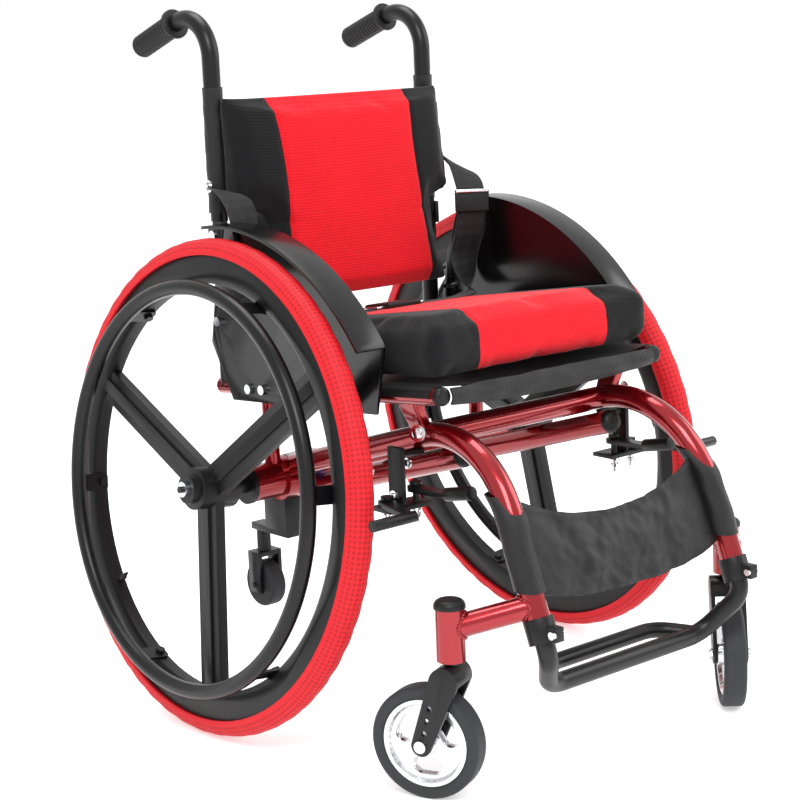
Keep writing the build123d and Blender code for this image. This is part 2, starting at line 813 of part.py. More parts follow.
# Back tubes rise from the hinge and turn back into the push handles. A brace joins them low down.
tube_start_z = hinge_z + 17.5
handle_corner_z = 889
handle_bend = 50
grip_drop = math.radians(18.9)
handle_reach = 155
handle_end = (
    -rail_x,
    back_tube_y + handle_reach * math.cos(grip_drop),
    handle_corner_z - handle_reach * math.sin(grip_drop),
)
back_route = [(-rail_x, back_tube_y, tube_start_z), (-rail_x, back_tube_y, handle_corner_z), handle_end]
tongue_bore = rod(pivot_start, pivot_end, pivot_radius + fit)
with BuildPart() as tongue:
    with BuildSketch(Plane.YZ.offset(-rail_x - slot_half + 0.3)):
        with Locations((back_tube_y, hinge_z)):
            Circle(9.5)
        with Locations((back_tube_y, hinge_z)):
            Rectangle(19, tube_start_z - hinge_z + 4, align=(Align.CENTER, Align.MIN))
    extrude(amount=2 * slot_half - 0.6)
    add(tongue_bore, mode=Mode.SUBTRACT)
brace_z = 690
brace = rod((-rail_x, back_tube_y, brace_z), (rail_x, back_tube_y, brace_z), 8)
back_tube = bent_tube(back_route, [handle_bend], thin_radius)
with BuildPart() as back_tubes:
    add(bent_tube(back_route, [handle_bend], thin_radius, thin_bore))
    add(tongue.part)
    mirror(about=Plane.YZ)
    add(brace)
save(back_tubes.part, "back_tubes")


def along_handle(distance):
    """A point of the handle's axis, measured back from the corner of the tube."""
    reach = Vector(0, math.cos(grip_drop), -math.sin(grip_drop)) * distance
    return tuple(Vector(-rail_x, back_tube_y, handle_corner_z) + reach)


grip_start = 76
grip_end = 164
grip_radius = 15
push_grip = less(
    joined(
        rod(along_handle(grip_start), along_handle(grip_start + 5), grip_radius + 4),
        rod(along_handle(grip_start), along_handle(grip_end), grip_radius),
    ),
    back_tube,
)
save(both_sides(push_grip), "push_grips")

# Back cushion: thicker at the seat, narrow between the hinge stubs and full width above them.
back_bottom = 496
shoulder_z = 626
narrow_half = 154
back_face_y = back_tube_y - thin_radius - 1
with BuildPart() as back_cushion:
    with BuildSketch(Plane.YZ.offset(-back_half)):
        with BuildLine():
            Polyline(
                (back_face_y, back_bottom),
                (back_face_y, 786),
                (ahead(-56), 786),
                (ahead(-36), 670),
                (ahead(-17), 540),
                (ahead(-10), back_bottom),
                close=True,
            )
        make_face()
    extrude(amount=2 * back_half)
    for sign in (-1, 1):
        with BuildSketch(Plane.XZ.offset(-back_face_y)):
            with Locations((sign * back_half, shoulder_z)):
                align = (Align.MIN if sign < 0 else Align.MAX, Align.MAX)
                Rectangle(back_half - narrow_half, 2 * (shoulder_z - back_bottom), align=align)
        extrude(amount=80, mode=Mode.SUBTRACT)
    fillet(back_cushion.faces().sort_by(Axis.Z)[-1].edges().filter_by(Axis.Y), 14)
    fillet(back_cushion.faces().sort_by(Axis.Z)[-1].edges().filter_by(Axis.X), 5)
save(back_cushion.part, "back_cushion")

# Belt: an anchor on each back tube, two webbing straps down to the seat and a buckle between them.
anchor_z = 662
belt_x = 172
belt_half = 18
belt_thickness = 3
anchor_radius = 8
button_radius = 5
button_height = 4
anchor_face_x = -rail_x - thin_radius - 3.5
anchor_face = (anchor_face_x, back_tube_y, anchor_z)
belt_anchor = joined(
    rod((-rail_x, back_tube_y, anchor_z), anchor_face, anchor_radius),
    rod(anchor_face, (anchor_face_x - button_height, back_tube_y, anchor_z), button_radius),
)
save(both_sides(less(belt_anchor, back_tube)), "belt_anchors")


buckle_x = -20
buckle_half = 27
buckle_depth = 25
buckle_height = 12
belt_gap = 1
belt_top_z = 664
belt_waist_z = 540
belt_heel = -5


def on_seat(distance, lift):
    """A corner of a piece that lies on the seat, as a distance ahead and a height."""
    return (distance, seat_height(distance) + lift)


def belt(side, sign):
    """Webbing down the front of the back cushion, then across the seat to the buckle."""
    run_front = belt_ahead + belt_half
    drop = slab(
        belt_half,
        (-33, belt_top_z),
        (-13, belt_waist_z),
        on_seat(belt_heel, belt_gap),
        on_seat(belt_heel + belt_thickness, belt_gap),
        (-10, belt_waist_z),
        (-30, belt_top_z),
    )
    corner = slab(
        belt_half,
        on_seat(belt_heel, belt_gap),
        on_seat(belt_heel, belt_gap + belt_thickness),
        on_seat(run_front, belt_gap + belt_thickness),
        on_seat(run_front, belt_gap),
    )
    inner_x = buckle_x + sign * (buckle_half + touch_gap)
    run_half = (sign * belt_x - inner_x) / 2 * sign
    across = slab(
        run_half,
        on_seat(belt_ahead - belt_half, belt_gap),
        on_seat(belt_ahead - belt_half, belt_gap + belt_thickness),
        on_seat(run_front, belt_gap + belt_thickness),
        on_seat(run_front, belt_gap),
    )
    strap = joined(Pos(sign * belt_x, 0, 0) * drop, Pos(sign * belt_x, 0, 0) * corner)
    save(joined(strap, Pos(inner_x + sign * run_half, 0, 0) * across), f"belt_{side}")


belt("right", -1)
belt("left", 1)

buckle = slab(
    buckle_half,
    on_seat(belt_ahead - buckle_depth, belt_gap),
    on_seat(belt_ahead - buckle_depth, belt_gap + buckle_height),
    on_seat(belt_ahead + buckle_depth, belt_gap + buckle_height),
    on_seat(belt_ahead + buckle_depth, belt_gap),
)
save(Pos(buckle_x, 0, 0) * buckle, "belt_buckle")

# Brakes: a bracket under each rise, a lever that swings sideways and a shoe arm linked to it.
bracket_ahead = 258
foot_z = 304
foot_thickness = 5
lever_pivot = (-166, ahead(266))
shoe_pivot = (-204, ahead(258))
pin_radius = 4
pin_head = 5
pin_head_radius = 7
link_thickness = 6
link_z = foot_z + foot_thickness + touch_gap
lever_z = link_z + 12
brake_bolt_z = rise_z(bracket_ahead) - 16
web_outer_x = 190
web_inner_x = 184
web_half = 12
foot_outer_x = 216
foot_inner_x = 150
foot_top = foot_z + foot_thickness
brake_bracket = joined(
    block(
        (-web_outer_x, ahead(bracket_ahead + web_half), foot_z),
        (-web_inner_x, ahead(bracket_ahead - web_half), brake_bolt_z + 10),
    ),
    block(
        (-foot_outer_x, ahead(bracket_ahead + 20), foot_z),
        (-foot_inner_x, ahead(bracket_ahead - 14), foot_top),
    ),
    rod(
        (-web_outer_x, ahead(bracket_ahead), brake_bolt_z),
        (-side_tube_x, ahead(bracket_ahead), brake_bolt_z),
        5,
    ),
)
for pivot, height in ((lever_pivot, lever_z), (shoe_pivot, link_z)):
    pin_top = height + link_thickness + touch_gap
    brake_bracket = joined(
        brake_bracket,
        rod((*pivot, foot_z), (*pivot, pin_top), pin_radius),
        rod((*pivot, pin_top), (*pivot, pin_top + pin_head), pin_head_radius),
    )
front_post_pair = both_sides(front_post)
brake_bracket = less(brake_bracket, side_solid, front_post_pair).solids().sort_by(SortBy.VOLUME)[-1]
save(both_sides(brake_bracket), "brake_brackets")


def brake_link(pivot, end, width, height):
    """A flat link with a running bore at its pivot."""
    with BuildPart() as link:
        with BuildSketch(Plane.XY.offset(height)):
            with Locations(pivot):
                Circle(10)
            with Locations(end):
                Circle(width / 2)
            make_hull()
            with Locations(pivot):
                Circle(pin_radius + fit, mode=Mode.SUBTRACT)
        extrude(amount=link_thickness)
    return link.part


lever_end = (-166, ahead(320))
lever_tip = (-166, ahead(362), lever_z + 12)
brake_lever = joined(
    brake_link(lever_pivot, lever_end, 14, lever_z),
    rod((*lever_end, lever_z + 4), lever_tip, 8),
)
save_pair(brake_lever, "brake_lever")

shoe_end = (-226, ahead(322))
shoe_z = link_z + link_thickness / 2
brake_shoe = joined(
    brake_link(shoe_pivot, shoe_end, 13, link_z),
    rod((-222, ahead(328), shoe_z), (-284, ahead(328), shoe_z), 6.5),
)
save_pair(brake_shoe, "brake_shoe")

# The anti-tip wheel hangs in a short fork from a bracket under the right end of the axle tube.
anti_x = 154
anti_ahead = -56
anti_radius = 30
anti_z = 146
anti_width = 22
anti_bracket = less(
    block((-anti_x - 12, ahead(10), 226), (-anti_x + 12, ahead(-34), axle_tube_z)),
    axle_solid,
    clamp_solid,
    lower_rail,
)
anti_bracket = anti_bracket.solids().group_by(Axis.Z)[0].sort_by(SortBy.VOLUME)[-1]

fork_outer = 18
fork_inner = 13
fork_half = 12
fork_crown_z = 184
fork_foot_z = anti_z - 10
anti_rear = ahead(anti_ahead - fork_half)
anti_front = ahead(anti_ahead + fork_half)
anti_axle = rod(
    (-anti_x - fork_outer - 3, ahead(anti_ahead), anti_z),
    (-anti_x + fork_outer + 3, ahead(anti_ahead), anti_z),
    pin_radius,
)
anti_arm = joined(
    block((-anti_x - 10, ahead(10), 218), (-anti_x + 10, anti_rear, 227)),
    rod((-anti_x, ahead(anti_ahead), 222), (-anti_x, ahead(anti_ahead), fork_crown_z + 4), 9),
    block(
        (-anti_x - fork_outer, anti_front, fork_crown_z),
        (-anti_x + fork_outer, anti_rear, fork_crown_z + 6),
    ),
    block((-anti_x - fork_outer, anti_front, fork_foot_z), (-anti_x - fork_inner, anti_rear, fork_crown_z)),
    block((-anti_x + fork_inner, anti_front, fork_foot_z), (-anti_x + fork_outer, anti_rear, fork_crown_z)),
    anti_axle,
)
save(joined(anti_bracket, anti_arm), "anti_tip_arm")

with BuildPart() as anti_wheel:
    with BuildSketch(Plane.YZ.offset(-anti_x - anti_width / 2)):
        with Locations((ahead(anti_ahead), anti_z)):
            Circle(anti_radius)
            Circle(pin_radius + fit, mode=Mode.SUBTRACT)
    extrude(amount=anti_width)
    fillet(anti_wheel.edges().filter_by(GeomType.CIRCLE).group_by(SortBy.RADIUS)[-1], 4)
save(anti_wheel.part, "anti_tip_wheel")
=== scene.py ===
import json
import math

import bpy
from mathutils import Matrix, Vector, noise


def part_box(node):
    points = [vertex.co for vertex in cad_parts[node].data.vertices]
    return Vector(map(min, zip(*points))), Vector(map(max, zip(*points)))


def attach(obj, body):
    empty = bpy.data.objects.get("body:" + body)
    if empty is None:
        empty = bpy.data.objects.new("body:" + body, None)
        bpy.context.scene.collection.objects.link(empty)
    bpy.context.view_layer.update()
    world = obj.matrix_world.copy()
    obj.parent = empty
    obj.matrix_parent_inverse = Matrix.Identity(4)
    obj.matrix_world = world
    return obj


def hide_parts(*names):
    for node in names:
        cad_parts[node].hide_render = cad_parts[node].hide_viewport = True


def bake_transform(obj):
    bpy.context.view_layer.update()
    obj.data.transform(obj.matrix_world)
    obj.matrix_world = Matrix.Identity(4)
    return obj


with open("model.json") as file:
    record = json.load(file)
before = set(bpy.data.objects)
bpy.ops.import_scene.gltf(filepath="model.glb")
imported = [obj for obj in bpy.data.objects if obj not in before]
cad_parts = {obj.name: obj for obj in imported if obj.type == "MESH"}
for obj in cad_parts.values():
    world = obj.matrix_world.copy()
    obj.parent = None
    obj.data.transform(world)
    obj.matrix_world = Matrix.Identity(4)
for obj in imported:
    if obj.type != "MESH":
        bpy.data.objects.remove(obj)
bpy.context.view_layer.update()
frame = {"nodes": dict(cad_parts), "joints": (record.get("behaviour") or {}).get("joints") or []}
nodes = frame["nodes"]
joints = {joint["name"]: joint for joint in frame["joints"]}
sides = {"right": -1, "left": 1}
axleY = joints["rear_wheel_right_spin"]["pos_m"][1]
print("frame loaded:", len(nodes), "nodes")

# Camera
cameraFacts = {"spot": (-1.563, -1.812, 0.843), "yaw": -0.699, "pitch": 0.190, "roll": -0.041, "lens": 86.2}


def makeCamera(facts):
    yaw, pitch, roll = facts["yaw"], facts["pitch"], facts["roll"]
    ahead = Vector((-math.sin(yaw) * math.cos(pitch), math.cos(yaw) * math.cos(pitch), -math.sin(pitch)))
    across = Vector((math.cos(yaw), math.sin(yaw), 0))
    above = across.cross(ahead)
    right = across * math.cos(roll) + above * math.sin(roll)
    up = above * math.cos(roll) - across * math.sin(roll)
    bpy.ops.object.camera_add()
    camera = bpy.context.object
    camera.name = "viewCamera"
    camera.data.lens = facts["lens"]
    camera.data.sensor_width = 36
    turn = Matrix((right, up, -ahead)).transposed().to_4x4()
    camera.matrix_world = Matrix.Translation(facts["spot"]) @ turn
    bpy.context.scene.camera = camera


makeCamera(cameraFacts)


# Materials
def hexColour(code):
    parts = [int(code[place:place + 2], 16) / 255 for place in (1, 3, 5)]
    linear = [part / 12.92 if part <= 0.04045 else ((part + 0.055) / 1.055) ** 2.4 for part in parts]
    return (*linear, 1)


def addNode(tree, kind, sources=None, **settings):
    node = tree.nodes.new(kind)
    for name, value in settings.items():
        setattr(node, name, value)
    for socket, source in (sources or {}).items():
        if isinstance(source, bpy.types.NodeSocket):
            tree.links.new(source, node.inputs[socket])
        else:
            node.inputs[socket].default_value = source
    return node


def maths(tree, operation, first, second=0.0):
    node = addNode(tree, "ShaderNodeMath", {0: first, 1: second}, operation=operation)
    return node.outputs[0]


def startMaterial(name, colour, roughness, metallic=0.0, **sockets):
    material = bpy.data.materials.new(name)
    material.use_nodes = True
    tree = material.node_tree
    shader = tree.nodes["Principled BSDF"]
    shader.inputs["Base Color"].default_value = hexColour(colour)
    shader.inputs["Roughness"].default_value = roughness
    shader.inputs["Metallic"].default_value = metallic
    for socket, value in sockets.items():
        shader.inputs[socket.replace("_", " ")].default_value = value
    coords = addNode(tree, "ShaderNodeTexCoord").outputs["Object"]
    return material, tree, shader, coords


def addBump(tree, shader, height, depth, strength):
    # depth in millimetres
    sources = {"Height": height, "Distance": depth / 1000, "Strength": strength}
    bump = addNode(tree, "ShaderNodeBump", sources)
    tree.links.new(bump.outputs[0], shader.inputs["Normal"])


def grainFinish(name, colour, roughness, metallic=0.0, grain=0.9, depth=0.03, vary=0.06, tint=1.25,
                **sockets):
    # grain and depth in millimetres; vary is how much the roughness wanders; tint lightens rubbed patches
    material, tree, shader, coords = startMaterial(name, colour, roughness, metallic, **sockets)
    fine = addNode(tree, "ShaderNodeTexNoise", {"Vector": coords, "Scale": 1000 / grain, "Detail": 3.0})
    broad = addNode(tree, "ShaderNodeTexNoise", {"Vector": coords, "Scale": 11.0, "Detail": 5.0})
    rough = addNode(tree, "ShaderNodeMapRange", {
        "Value": broad.outputs[0], "From Min": 0.3, "From Max": 0.7,
        "To Min": max(roughness - vary, 0.02), "To Max": roughness + vary})
    tree.links.new(rough.outputs[0], shader.inputs["Roughness"])
    base = hexColour(colour)
    rubbed = (*[min(part * tint, 1) for part in base[:3]], 1)
    mixed = addNode(tree, "ShaderNodeMix", {0: broad.outputs[0], 6: base, 7: rubbed}, data_type="RGBA")
    tree.links.new(mixed.outputs[2], shader.inputs["Base Color"])
    addBump(tree, shader, fine.outputs[0], depth, 0.6)
    return material


def clothFinish(name, outer, inner, halfWidths, rib, hole, sheen):
    # two knitted cloths sewn side by side: inner lies between the seams at +-halfWidths, given by height;
    # a curve node holds 0 to 1, so half widths are scaled up to fill it
    curveScale, seamBlur = 5, 0.0004
    material, tree, shader, coords = startMaterial(
        name, outer, 0.86, Sheen_Weight=sheen, Sheen_Roughness=0.45, Specular_IOR_Level=0.2)
    place = addNode(tree, "ShaderNodeSeparateXYZ", {0: coords})
    side = maths(tree, "ABSOLUTE", place.outputs[0])
    low, high = halfWidths[0][0], halfWidths[-1][0]
    height = addNode(tree, "ShaderNodeMapRange", {
        "Value": place.outputs[2], "From Min": low, "From Max": max(high, low + 0.001)})
    curve = addNode(tree, "ShaderNodeFloatCurve", {"Value": height.outputs[0]})
    points = curve.mapping.curves[0].points
    spots = [((z - low) / max(high - low, 0.001), half * curveScale) for z, half in halfWidths]
    points[0].location, points[-1].location = spots[0], spots[-1]
    for spot in spots[1:-1]:
        points.new(*spot)
    curve.mapping.update()
    edge = maths(tree, "MULTIPLY", curve.outputs[0], 1 / curveScale)
    gap = maths(tree, "SUBTRACT", edge, side)
    inside = addNode(tree, "ShaderNodeMapRange", {
        "Value": gap, "From Min": -seamBlur, "From Max": seamBlur})
    # painted shade: the mesh holes and the troughs between the ribs are coloured darker, in the same places
    # the bump sinks
    holes = addNode(tree, "ShaderNodeTexVoronoi", {"Vector": coords, "Scale": 1000 / hole})
    holeShade = addNode(tree, "ShaderNodeMapRange", {
        "Value": holes.outputs[0], "From Min": 0.1, "From Max": 0.55, "To Min": 0.72, "To Max": 1.0})
    slope = maths(tree, "MULTIPLY", place.outputs[1], -0.5)
    climb = maths(tree, "ADD", place.outputs[2], slope)
    wave = maths(tree, "SINE", maths(tree, "MULTIPLY", climb, 2000 * math.pi / rib))
    ribs = addNode(tree, "ShaderNodeMapRange", {
        "Value": wave, "From Min": -1.0, "To Min": 0.9, "To Max": 1.0})
    blend = addNode(tree, "ShaderNodeMix", {
        0: inside.outputs[0], 6: hexColour(outer), 7: hexColour(inner)}, data_type="RGBA")
    shade = maths(tree, "MULTIPLY", holeShade.outputs[0], ribs.outputs[0])
    worn = addNode(tree, "ShaderNodeTexNoise", {"Vector": coords, "Scale": 9.0, "Detail": 4.0})
    wander = addNode(tree, "ShaderNodeMapRange", {"Value": worn.outputs[0], "To Min": 0.82, "To Max": 1.14})
    both = maths(tree, "MULTIPLY", shade, wander.outputs[0])
    colour = addNode(tree, "ShaderNodeMix", {
        0: 1.0, 6: blend.outputs[2], 7: both}, data_type="RGBA", blend_type="MULTIPLY")
    tree.links.new(colour.outputs[2], shader.inputs["Base Color"])
    addBump(tree, shader, maths(tree, "ADD", wave, holeShade.outputs[0]), 0.25, 0.5)
    return material


def wovenFinish(name, colour, pitch, depth, roughness=0.75, sheen=0.25):
    # webbing and nylon cloth: warp and weft by the thread pitch in millimetres, along the piece's own UV
    material, tree, shader, coords = startMaterial(
        name, colour, roughness, Sheen_Weight=sheen, Sheen_Roughness=0.4, Specular_IOR_Level=0.35)
    uv = addNode(tree, "ShaderNodeUVMap").outputs[0]
    waves = []
    for direction in ("X", "Y"):
        # a wave texture turns twenty radians per unit, so the weave is drawn six times coarse, to show
        wave = addNode(tree, "ShaderNodeTexWave", {"Vector": uv, "Scale": 50 / pitch, "Distortion": 0.4},
                       bands_direction=direction)
        waves.append(wave.outputs[1])
    weave = maths(tree, "MULTIPLY", waves[0], waves[1])
    # painted shade and highlight: the colour goes darker between the threads and lighter on their raised
    # tops, following the weave that the bump raises
    tint = addNode(tree, "ShaderNodeMapRange", {"Value": weave, "To Min": 0.75, "To Max": 1.35})
    colours = addNode(tree, "ShaderNodeMix", {
        0: 1.0, 6: hexColour(colour), 7: tint.outputs[0]}, data_type="RGBA", blend_type="MULTIPLY")
    tree.links.new(colours.outputs[2], shader.inputs["Base Color"])
    creases = addNode(tree, "ShaderNodeTexNoise", {"Vector": coords, "Scale": 45.0, "Detail": 4.0})
    addBump(tree, shader, maths(tree, "ADD", weave, creases.outputs[0]), depth, 0.7)
    return material


# candy paint: clear gloss over a red-tinted metallic ground, bright where lit and wine-dark in shade
candyRedPaint = grainFinish("candyRedPaint", "#8f0814", 0.24, 0.8, grain=0.5, depth=0.01, tint=1.12,
                            Coat_Weight=0.8, Coat_Roughness=0.05)
# glass-filled nylon: satin, with a faint moulded grain
mouldedNylon = grainFinish("mouldedNylon", "#0c0c0d", 0.4, grain=1.1, depth=0.04, Specular_IOR_Level=0.3)
# anodised aluminium tube: dark, smooth, with a tight highlight
anodisedBlack = grainFinish("anodisedBlack", "#0e0e10", 0.3, 0.3, grain=0.7, depth=0.012,
                            Specular_IOR_Level=0.4)
# powder coat: slight orange peel
powderBlack = grainFinish("powderBlack", "#0b0b0d", 0.34, grain=1.6, depth=0.03, Specular_IOR_Level=0.35)
# ABS sheet: glossy black with soft reflections
glossAbs = grainFinish("glossAbs", "#050506", 0.22, grain=2.2, depth=0.02, Specular_IOR_Level=0.45)
# zinc and chrome plated steel: bright, slightly hazy
platedSteel = grainFinish("platedSteel", "#cfd0d2", 0.16, 1.0, grain=0.6, depth=0.008)
# polished cast aluminium: silver with faint turning haze
polishedAlloy = grainFinish("polishedAlloy", "#d4d5d8", 0.22, 1.0, grain=0.8, depth=0.015)
# pigmented tyre rubber: matt red, a little dusty
def tyreFinish(name, colour, grooveShade):
    # painted shade: the diamond grooves are coloured darker than the blocks between them
    material, tree, shader, coords = startMaterial(name, colour, 0.6, Specular_IOR_Level=0.3)
    uv = addNode(tree, "ShaderNodeUVMap").outputs[0]
    place = addNode(tree, "ShaderNodeSeparateXYZ", {0: uv})
    total = maths(tree, "ADD", place.outputs[0], place.outputs[1])
    between = maths(tree, "SUBTRACT", place.outputs[0], place.outputs[1])
    waves = [maths(tree, "COSINE", maths(tree, "MULTIPLY", angle, math.pi)) for angle in (total, between)]
    lump = maths(tree, "MULTIPLY", waves[0], waves[1])
    raised = addNode(tree, "ShaderNodeMapRange", {"Value": lump, "From Min": -0.35, "From Max": 0.15})
    side = maths(tree, "ABSOLUTE", place.outputs[1])
    wall = addNode(tree, "ShaderNodeMapRange", {"Value": side, "From Min": 3.7, "From Max": 4.1})
    plain = maths(tree, "MAXIMUM", raised.outputs[0], wall.outputs[0])
    mixed = addNode(tree, "ShaderNodeMix", {
        0: plain, 6: hexColour(grooveShade), 7: hexColour(colour)}, data_type="RGBA")
    tree.links.new(mixed.outputs[2], shader.inputs["Base Color"])
    fine = addNode(tree, "ShaderNodeTexNoise", {"Vector": coords, "Scale": 700.0, "Detail": 3.0})
    addBump(tree, shader, fine.outputs[0], 0.05, 0.5)
    return material


# the second colour is painted shade in the tread grooves
redRubber = tyreFinish("redRubber", "#cf1420", "#a50d18")
# cast polyurethane: dark grey, dull
greyUrethane = grainFinish("greyUrethane", "#2a2b2d", 0.6, grain=1.2, depth=0.05, Specular_IOR_Level=0.3)
# oxide-blackened steel: dark, with a soft metal sheen
blackOxide = grainFinish("blackOxide", "#2a2a2c", 0.34, 0.85, grain=0.6, depth=0.01)
# soft grip rubber: deep black and dull
gripRubber = grainFinish("gripRubber", "#09090a", 0.52, grain=0.9, depth=0.05, Specular_IOR_Level=0.35)
labelFilm = grainFinish("labelFilm", "#dfe3e8", 0.35, grain=1.5, depth=0.005, tint=1.02)
labelInk = grainFinish("labelInk", "#2c56a8", 0.35, grain=1.5, depth=0.005, tint=1.05)
blackKnit, redKnit = "#0f0f11", "#d8101f"
seatCloth = clothFinish("seatKnit", blackKnit, redKnit, [(0.40, 0.104), (0.55, 0.104)], 3.4, 2.1, 0.12)
backSeams = [(0.48, 0.116), (0.58, 0.112), (0.68, 0.107), (0.74, 0.110), (0.80, 0.118)]
backCloth = clothFinish("backKnit", blackKnit, redKnit, backSeams, 3.4, 2.1, 0.12)
nylonCloth = wovenFinish("nylonCloth", "#0b0b0d", 1.6, 0.25, 0.42, 0.05)
beltWebbing = wovenFinish("beltWebbing", "#161618", 2.2, 0.5, 0.62, 0.12)

finishes = {
    candyRedPaint: ["axle_clamps", "side_tube", "axle_tube", "cross_tubes", "lower_rails", "seat_rails",
                    "seat_posts", "caster_arm"],
    mouldedNylon: ["wheel_rim", "leg_clamps", "tube_caps", "housing_caps", "axle_receivers", "belt_buckle"],
    anodisedBlack: ["handrim", "back_tubes"],
    powderBlack: ["caster_fork", "hinge_stubs", "brake_brackets", "anti_tip_arm", "footrest_bar",
                  "brake_lever", "brake_shoe"],
    glossAbs: ["side_guard"],
    platedSteel: ["axle_pins", "caster_bearings", "frame_screws", "hinge_pins", "belt_anchors",
                  "caster_axle"],
    blackOxide: ["hub_bearings", "handrim_screws", "release_button"],
    polishedAlloy: ["caster_hub"],
    redRubber: ["tyre"],
    greyUrethane: ["caster_tyre", "anti_tip_wheel"],
    gripRubber: ["push_grips"],
    nylonCloth: ["calf_strap", "seat_sling"],
    beltWebbing: ["belt_right", "belt_left"],
    seatCloth: ["seat_cushion"],
    backCloth: ["back_cushion"],
}
finishOf = {}
for finish, names in finishes.items():
    for name in names:
        for nodeName in nodes:
            if nodeName == name or nodeName in (name + "_right", name + "_left"):
                finishOf[nodeName] = finish
for nodeName, node in nodes.items():
    for slot in node.material_slots:
        slot.material = finishOf[nodeName]
print("finishes on", len(finishOf), "nodes")


# Making tools
def deselect():
    if bpy.context.object and bpy.context.object.mode != "OBJECT":
        bpy.ops.object.mode_set(mode="OBJECT")
    bpy.ops.object.select_all(action="DESELECT")


def pick(piece):
    deselect()
    piece.select_set(True)
    bpy.context.view_layer.objects.active = piece


def settle(piece, matrix=None):
    # puts a piece's place into its mesh
    piece.data.transform((matrix or Matrix()) @ piece.matrix_basis)
    piece.matrix_basis = Matrix()
    if (matrix or Matrix()).determinant() < 0:
        piece.data.flip_normals()
    piece.data.update()


def applyAll(piece):
    pick(piece)
    for modifier in list(piece.modifiers):
        bpy.ops.object.modifier_apply(modifier=modifier.name)


def smooth(piece, degrees=38):
    pick(piece)
    bpy.ops.object.shade_smooth_by_angle(angle=math.radians(degrees))


def finishPiece(piece, material, body, replaced=()):
    piece.data.materials.clear()
    piece.data.materials.append(material)
    if replaced:
        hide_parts(*replaced)
    if body:
        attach(piece, body)
    return piece


def frameAt(spot, direction, hint=(0, 0, 1)):
    # matrix whose Z runs along direction and whose X is as near as it can be to hint
    z = Vector(direction).normalized()
    x = Vector(hint) - z * z.dot(Vector(hint))
    if x.length < 1e-4:
        x = Vector((0, 1, 0)) - z * z.y
    x.normalize()
    turn = Matrix((x, z.cross(x), z)).transposed().to_4x4()
    return Matrix.Translation(spot) @ turn


def turned(name, profile, steps=32):
    # a lathe-turned shape: (radius, height) pairs extruded one ring after another and capped at both ends
    deselect()
    radius, height = profile[0]
    bpy.ops.mesh.primitive_circle_add(vertices=steps, radius=radius, fill_type="NGON")
    piece = bpy.context.object
    piece.name = name
    bpy.ops.object.mode_set(mode="EDIT")
    bpy.ops.mesh.select_all(action="SELECT")
    bpy.ops.transform.translate(value=(0, 0, height))
    for nextRadius, nextHeight in profile[1:]:
        bpy.ops.mesh.extrude_region_move(TRANSFORM_OT_translate={"value": (0, 0, nextHeight - height)})
        ratio = nextRadius / radius
        bpy.ops.transform.resize(value=(ratio, ratio, 1), center_override=(0, 0, nextHeight))
        radius, height = nextRadius, nextHeight
    bpy.ops.mesh.select_all(action="SELECT")
    bpy.ops.mesh.normals_make_consistent(inside=False)
    bpy.ops.object.mode_set(mode="OBJECT")
    return piece


def ribbon(name, path, half, thickness, columns=6):
    # a flat strip swept along (point, across) pairs: a grid shaped by its path, then given a wall
    deselect()
    rows = len(path) - 1
    bpy.ops.mesh.primitive_grid_add(x_subdivisions=rows, y_subdivisions=columns, size=2)
    piece = bpy.context.object
    piece.name = name
    for vertex in piece.data.vertices:
        row = round((vertex.co.x + 1) / 2 * rows)
        point, across = path[row]
        vertex.co = Vector(point) + Vector(across).normalized() * vertex.co.y * half
    length = sum((Vector(b[0]) - Vector(a[0])).length for a, b in zip(path, path[1:]))
    for loop in piece.data.uv_layers[0].data:
        loop.uv = (loop.uv[0] * length, loop.uv[1] * half * 2)
    wall = piece.modifiers.new("wall", "SOLIDIFY")
    wall.thickness = thickness
    wall.offset = 0
    rounded = piece.modifiers.new("rounded", "BEVEL")
    rounded.width = thickness * 0.3
    rounded.segments = 2
    applyAll(piece)
    smooth(piece, 50)
    return piece


def curveThrough(points, steps):
    # Catmull-Rom points through given ones
    ends = [points[0], *points, points[-1]]
    line = []
    for a, b, c, d in zip(ends, ends[1:], ends[2:], ends[3:]):
        a, b, c, d = Vector(a), Vector(b), Vector(c), Vector(d)
        for step in range(steps):
            t = step / steps
            line.append(0.5 * (2 * b + (c - a) * t + (2 * a - 5 * b + 4 * c - d) * t ** 2
                               + (3 * b - a - 3 * c + d) * t ** 3))
    line.append(Vector(points[-1]))
    return line


def softened(nodeName, body, width=0.0012, segments=2, name=None):
    # the node's own shape with its sharp edges eased, standing for it
    source = nodes[nodeName]
    piece = source.copy()
    piece.data = source.data.copy()
    piece.name = name or nodeName.replace("_", " ").title().replace(" ", "")
    bpy.context.collection.objects.link(piece)
    piece.parent = None
    piece.matrix_world = Matrix()
    for key in list(piece.keys()):
        del piece[key]
    pick(piece)
    bpy.ops.object.mode_set(mode="EDIT")
    bpy.ops.mesh.select_all(action="SELECT")
    bpy.ops.mesh.remove_doubles(threshold=0.00002)
    bpy.ops.mesh.dissolve_limited(angle_limit=math.radians(1.5))
    bpy.ops.object.mode_set(mode="OBJECT")
    eased = piece.modifiers.new("eased", "BEVEL")
    eased.width = width
    eased.segments = segments
    eased.angle_limit = math.radians(35)
    eased.use_clamp_overlap = True
    applyAll(piece)
    smooth(piece, 40)
    return finishPiece(piece, finishOf[nodeName], body, [nodeName])


